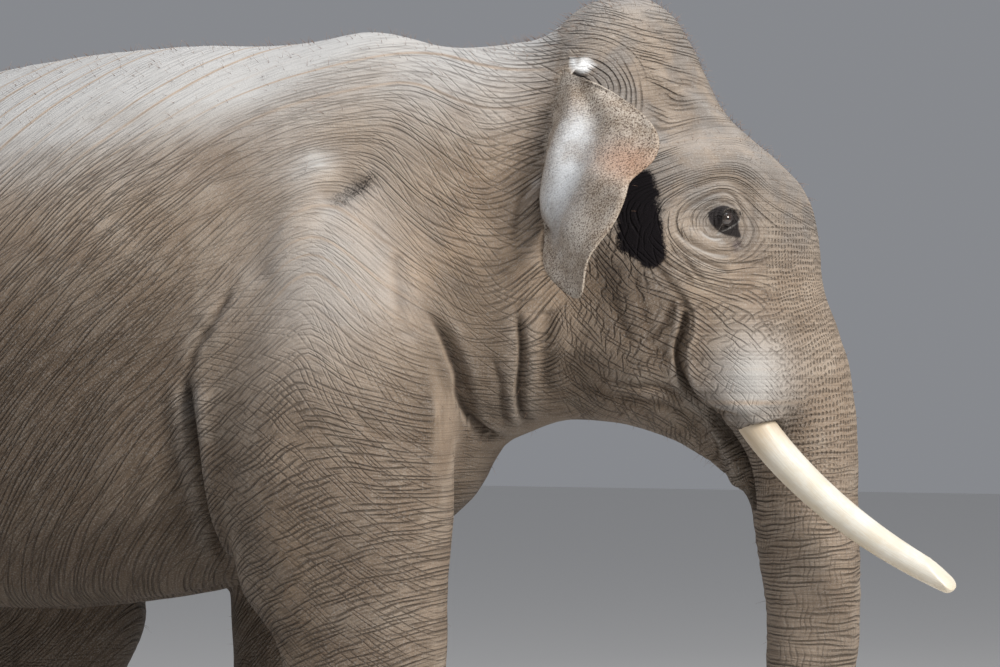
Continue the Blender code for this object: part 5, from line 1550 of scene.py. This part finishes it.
def make_nails():
    """Toenails: a shield that bulges out over the foot, flat-footed, wider below and thickest in its
    middle.
    """
    finish = nail_finish()
    for node in sorted(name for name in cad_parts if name.startswith("toenail")):
        low, high = (np.array(corner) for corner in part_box(node))
        centre = (low + high) / 2
        foot = node.split("_")[1:3]
        foot_low, foot_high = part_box(f"{foot[0]}foot_{foot[1]}")
        sole = (np.array(foot_low) + np.array(foot_high)) / 2
        out = unit((centre - sole) * (1, 1, 0))
        aside = np.cross((0, 0, 1.0), out)
        half_wide = 0.040
        half_high = (high[2] - low[2]) / 2
        turn = np.linspace(0, 2 * np.pi, 28, endpoint=False)
        spread = np.linspace(0.04, 1.0, 9)
        wide = np.cos(turn) * half_wide * (1 - 0.22 * np.maximum(np.sin(turn), 0))
        tall = np.where(np.sin(turn) > 0, np.sin(turn), 0.82 * np.sin(turn)) * half_high
        bulge = 0.020 * np.sqrt(np.maximum(1 - spread ** 2.4, 0))
        rings = (centre + out * (bulge[:, None, None] + 0.004)
                 + aside * wide[None, :, None] * spread[:, None, None]
                 + np.array((0, 0, 1.0)) * tall[None, :, None] * spread[:, None, None]
                 - out * (14.0 * (wide[None, :] * spread[:, None]) ** 2)[..., None])
        back = rings[::-1] - out * np.linspace(0.022, 0.030, 9)[:, None, None]
        points, faces = tube(np.concatenate((rings, back)))
        points[:, 2] = np.maximum(points[:, 2], 0.006)
        nail = add_object(node.replace("toenail", "nail"), points, faces)
        nail.data.materials.append(finish)
        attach(nail, "root")
        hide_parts(node)


# ---------------------------------------------------------------- hair
HAIR_PATCH = 0.003             # a hair's patch in its map
TUFT_HAIRS = 520
BRISTLES = 4200
LASHES = 46                    # to each eye


def strands(roots, ways, lengths, radii, droop, seed, segments=4, around=3, wave=0.0):
    """Many tapering hairs as one mesh: each leaves its root along its way and bends down by droop."""
    rng = np.random.default_rng(seed)
    count = len(roots)
    t = np.linspace(0, 1, segments + 1)
    side = unit(np.cross(ways, rng.normal(size=(count, 3))))
    other = np.cross(ways, side)
    spine = (roots[:, None] + ways[:, None] * (lengths[:, None] * t)[..., None]
             + np.array((0, 0, -1.0)) * (droop[:, None] * t ** 2)[..., None]
             + side[:, None] * (wave * lengths[:, None] * np.sin(t * 5 + rng.random(count)[:, None] * 6)
                                * t)[..., None])
    turn = np.linspace(0, 2 * np.pi, around, endpoint=False)
    ring = side[:, None, None] * np.cos(turn)[:, None] + other[:, None, None] * np.sin(turn)[:, None]
    taper = (1 - 0.85 * t)[None, :, None, None]
    points = spine[:, :, None] + ring * radii[:, None, None, None] * taper
    per = (segments + 1) * around
    single = grid_faces(segments + 1, around, closed_columns=True)
    ends = np.array([[2, 1, 0], [per - 3, per - 2, per - 1]]) if around == 3 else None
    single = np.vstack((single, ends))
    single = outward(points[0].reshape(-1, 3) - points[0].reshape(-1, 3).mean(0), single)
    faces = (single[None] + (np.arange(count) * per)[:, None, None]).reshape(-1, 3)
    along = np.broadcast_to(t[None, :, None], (count, segments + 1, around)).ravel()
    shade = np.repeat(rng.random(count), per)
    return points.reshape(-1, 3), faces, along, shade


def hair_piece(name, made, finish, uv_roots):
    """A piece of many hairs, with its OFBake map: each hair a small patch at its root's place."""
    points, faces, along, shade = made
    hair = add_object(name, points, faces)
    store(hair, "strand", np.stack((along, shade, 0 * along), 1))
    per = len(points) // len(uv_roots)
    spread = np.stack((along, np.tile(np.linspace(0, 1, 3), len(points) // 3)), 1) * HAIR_PATCH
    place = np.repeat(uv_roots, per, axis=0) + spread
    layer = hair.data.uv_layers.new(name="OFBake")
    corner = np.empty(len(hair.data.loops), np.int32)
    hair.data.loops.foreach_get("vertex_index", corner)
    layer.data.foreach_set("uv", place[corner].astype(np.float32).ravel())
    hair.data.materials.append(finish)
    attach(hair, "root")
    return hair


def unwrap(points):
    """A flat map of the skin: length along the body, and turn about its long axis."""
    body = in_body(points)
    turn = np.arctan2(body[:, 2] - 1.9, body[:, 1]) / (2 * np.pi) + 0.5
    return np.stack((0.02 + 0.94 * (body[:, 0] + 2.5) / 4.4, 0.02 + 0.94 * turn), 1)


def make_tail_tuft():
    """The brush at the tail's end: stiff black-brown hairs before and behind, in two flat rows."""
    rng = np.random.default_rng(21)
    low, high = (np.array(corner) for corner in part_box("tail_tuft"))
    top = np.array(((low[0] + high[0]) / 2, (low[1] + high[1]) / 2, high[2]))
    count = TUFT_HAIRS
    up = rng.random(count) ** 0.8
    front = np.where(rng.random(count) < 0.5, 1.0, -1.0)
    roots = top + np.stack((front * 0.012 + rng.normal(0, 0.006, count), rng.normal(0, 0.007, count),
                            0.05 + up * 0.16), 1)
    roots[:, 0] += -0.012 * up
    ways = unit(np.stack((front * (0.12 + 0.10 * up), rng.normal(0, 0.05, count),
                          -np.ones(count)), 1))
    room = roots[:, 2] - low[2]
    lengths = room * (0.62 + 0.36 * rng.random(count))
    lengths = np.minimum(lengths, 0.42)
    made = strands(roots, ways, lengths, np.full(count, 0.0013), 0.02 * np.ones(count), 22,
                   segments=6, wave=0.03)
    finish = hair_finish("tail hair", (0.020, 0.015, 0.013), (0.055, 0.038, 0.030))
    hair = hair_piece("tail_hair", made, finish, unwrap(roots))
    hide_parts("tail_tuft")


def make_bristles(points, faces, known):
    """Thin reddish bristles: dense on the dome and along the back, sparse elsewhere."""
    rng = np.random.default_rng(31)
    head, body = in_head(points), in_body(points)
    normals = normals_of(points, faces)
    chance = 0.9 * smooth(0.30, 0.55, head[:, 2]) * (head[:, 0] > -0.65)
    chance += 0.5 * smooth(0.35, 0.9, normals[:, 2]) * (body[:, 2] > 2.2)
    chance += 0.25 * smooth(-0.1, 0.2, head[:, 2]) * (head[:, 0] > -0.25)
    chance += 0.6 * bell(np.hypot(head[:, 0] + 0.05, head[:, 2] + 0.66), 0.09) * (body[:, 0] > 0.8)
    chance += 0.03
    chance *= (1 - known["ear"]) * (body[:, 2] > 0.4)
    off_eye = np.hypot(head[:, 0], head[:, 2])
    chance *= (off_eye > 0.07) | (np.abs(head[:, 1]) < 0.2)
    area = known["area"]
    weight = chance * area
    count = BRISTLES
    chosen = rng.choice(len(points), count, p=weight / weight.sum())
    roots = points[chosen] - normals[chosen] * 0.002
    lie = unit(rng.normal(size=(count, 3)) * 0.5 + (-0.5, 0, -0.3))
    ways = unit(normals[chosen] * 1.1 + lie * 0.8)
    lengths = 0.012 + 0.026 * rng.random(count) ** 1.5
    made = strands(roots, ways, lengths, np.full(count, 0.00055), 0.1 * lengths, 32, segments=3)
    finish = hair_finish("body bristles", (0.120, 0.060, 0.035), (0.400, 0.250, 0.160))
    hair_piece("bristles", made, finish, unwrap(roots))


def make_lashes():
    """Eyelashes: a fringe from the upper lid's edge, out, forwards and down."""
    rng = np.random.default_rng(41)
    line = spline(LID_OPENING[:6], 12)
    roots, ways = [], []
    for side in SIDES.values():
        facing = unit(EYE_FACING * (1, side, 1))
        ahead = unit(np.cross(facing, (0, 0, 1.0)) * (-side, -side, 0))
        for spot in line[rng.integers(0, len(line), LASHES)]:
            flat = ahead * spot[0] / 0.90 + np.array((0, 0, 1.0)) * spot[1]
            root = flat + facing * 0.0235 + (0, side * EYE_OUT, 0)
            out = unit(facing * 0.9 + ahead * (0.35 + rng.normal(0, 0.12)) + (0, 0, -0.15))
            roots.append(root)
            ways.append(out)
    roots, ways = from_head(np.array(roots)), np.array(ways) @ HEAD_AXES
    lengths = 0.020 + 0.018 * rng.random(len(roots))
    made = strands(roots, ways, lengths, np.full(len(roots), 0.0006), 0.9 * lengths, 42, segments=5)
    finish = hair_finish("eyelashes", (0.020, 0.015, 0.012), (0.060, 0.045, 0.035))
    hair_piece("lashes", made, finish, unwrap(roots))


# ---------------------------------------------------------------- stage
VIEW_TURN = math.radians(18.0)
VIEW_FAR = 8.5
VIEW_TARGET = np.array((0.50, 0.0, 1.99))
VIEW_LENS = 110.5              # millimetres, on a sensor 36 mm wide
FLOOR_HALF = 30.0
FLOOR_COLOUR = (0.82, 0.81, 0.79)
SKY_COLOUR = (0.90, 0.93, 1.0, 1.0)
SKY_STRENGTH = 0.27
LIT_PLACE = Vector((0.2, 0.0, 1.6))        # where the lamps at front and back point
LAMPS = (
    ("sky", (0.4, -1.2, 6.6), 6.0, 270.0, (0.93, 0.96, 1.0)),
    ("front light", (6.6, -3.2, 5.2), 3.0, 700.0, (1.0, 0.96, 0.90)),
    ("back light", (-4.5, 5.0, 4.5), 3.0, 90.0, (1.0, 0.98, 0.95)),
)


def make_stage():
    """Pale floor, soft lights from above, and the camera at the animal's right side."""
    corners = FLOOR_HALF * np.array(((-1, -1, 0), (1, -1, 0), (1, 1, 0), (-1, 1, 0)), float)
    floor = add_object("floor", corners, np.array(((0, 1, 2), (0, 2, 3))))
    s = Shader("studio floor")
    s.set(Base_Color=FLOOR_COLOUR, Roughness=0.9)
    floor.data.materials.append(s.material)
    world = bpy.data.worlds.new("studio")
    bpy.context.scene.world = world
    world.use_nodes = True
    background = world.node_tree.nodes["Background"]
    background.inputs["Color"].default_value = SKY_COLOUR
    background.inputs["Strength"].default_value = SKY_STRENGTH
    bpy.context.scene.view_settings.view_transform = "Standard"
    bpy.context.scene.cycles.max_bounces = 4
    bpy.context.scene.cycles.diffuse_bounces = 2
    for name, place, wide, power, colour in LAMPS:
        lamp = bpy.data.lights.new(name, "AREA")
        lamp.shape = "SQUARE"
        lamp.size = wide
        lamp.energy = power
        lamp.color = colour
        item = bpy.data.objects.new(name, lamp)
        item.location = place
        if name != "sky":
            item.rotation_euler = (LIT_PLACE - Vector(place)).to_track_quat("-Z", "Y").to_euler()
        bpy.context.scene.collection.objects.link(item)
    look = np.array((-math.sin(VIEW_TURN), math.cos(VIEW_TURN), 0.0))
    data = bpy.data.cameras.new("camera")
    data.sensor_width = 36.0
    data.lens = VIEW_LENS
    data.clip_end = 200.0
    camera = bpy.data.objects.new("camera", data)
    camera.location = VIEW_TARGET + WITHERS * (1, 1, 0) - look * VIEW_FAR
    camera.rotation_euler = (math.pi / 2, 0.0, VIEW_TURN)
    bpy.context.scene.collection.objects.link(camera)
    bpy.context.scene.camera = camera


def main():
    """Everything, in the order in which pieces rest on each other."""
    make_stage()
    points, faces, known = make_skin()
    a, b, c = points[faces[:, 0]], points[faces[:, 1]], points[faces[:, 2]]
    area = np.linalg.norm(np.cross(b - a, c - a), axis=1) / 2
    known["area"] = np.bincount(faces.ravel(), np.repeat(area, 3), len(points))
    make_tusks()
    make_eyes()
    make_nails()
    make_tail_tuft()
    make_bristles(points, faces, known)
    make_lashes()


main()
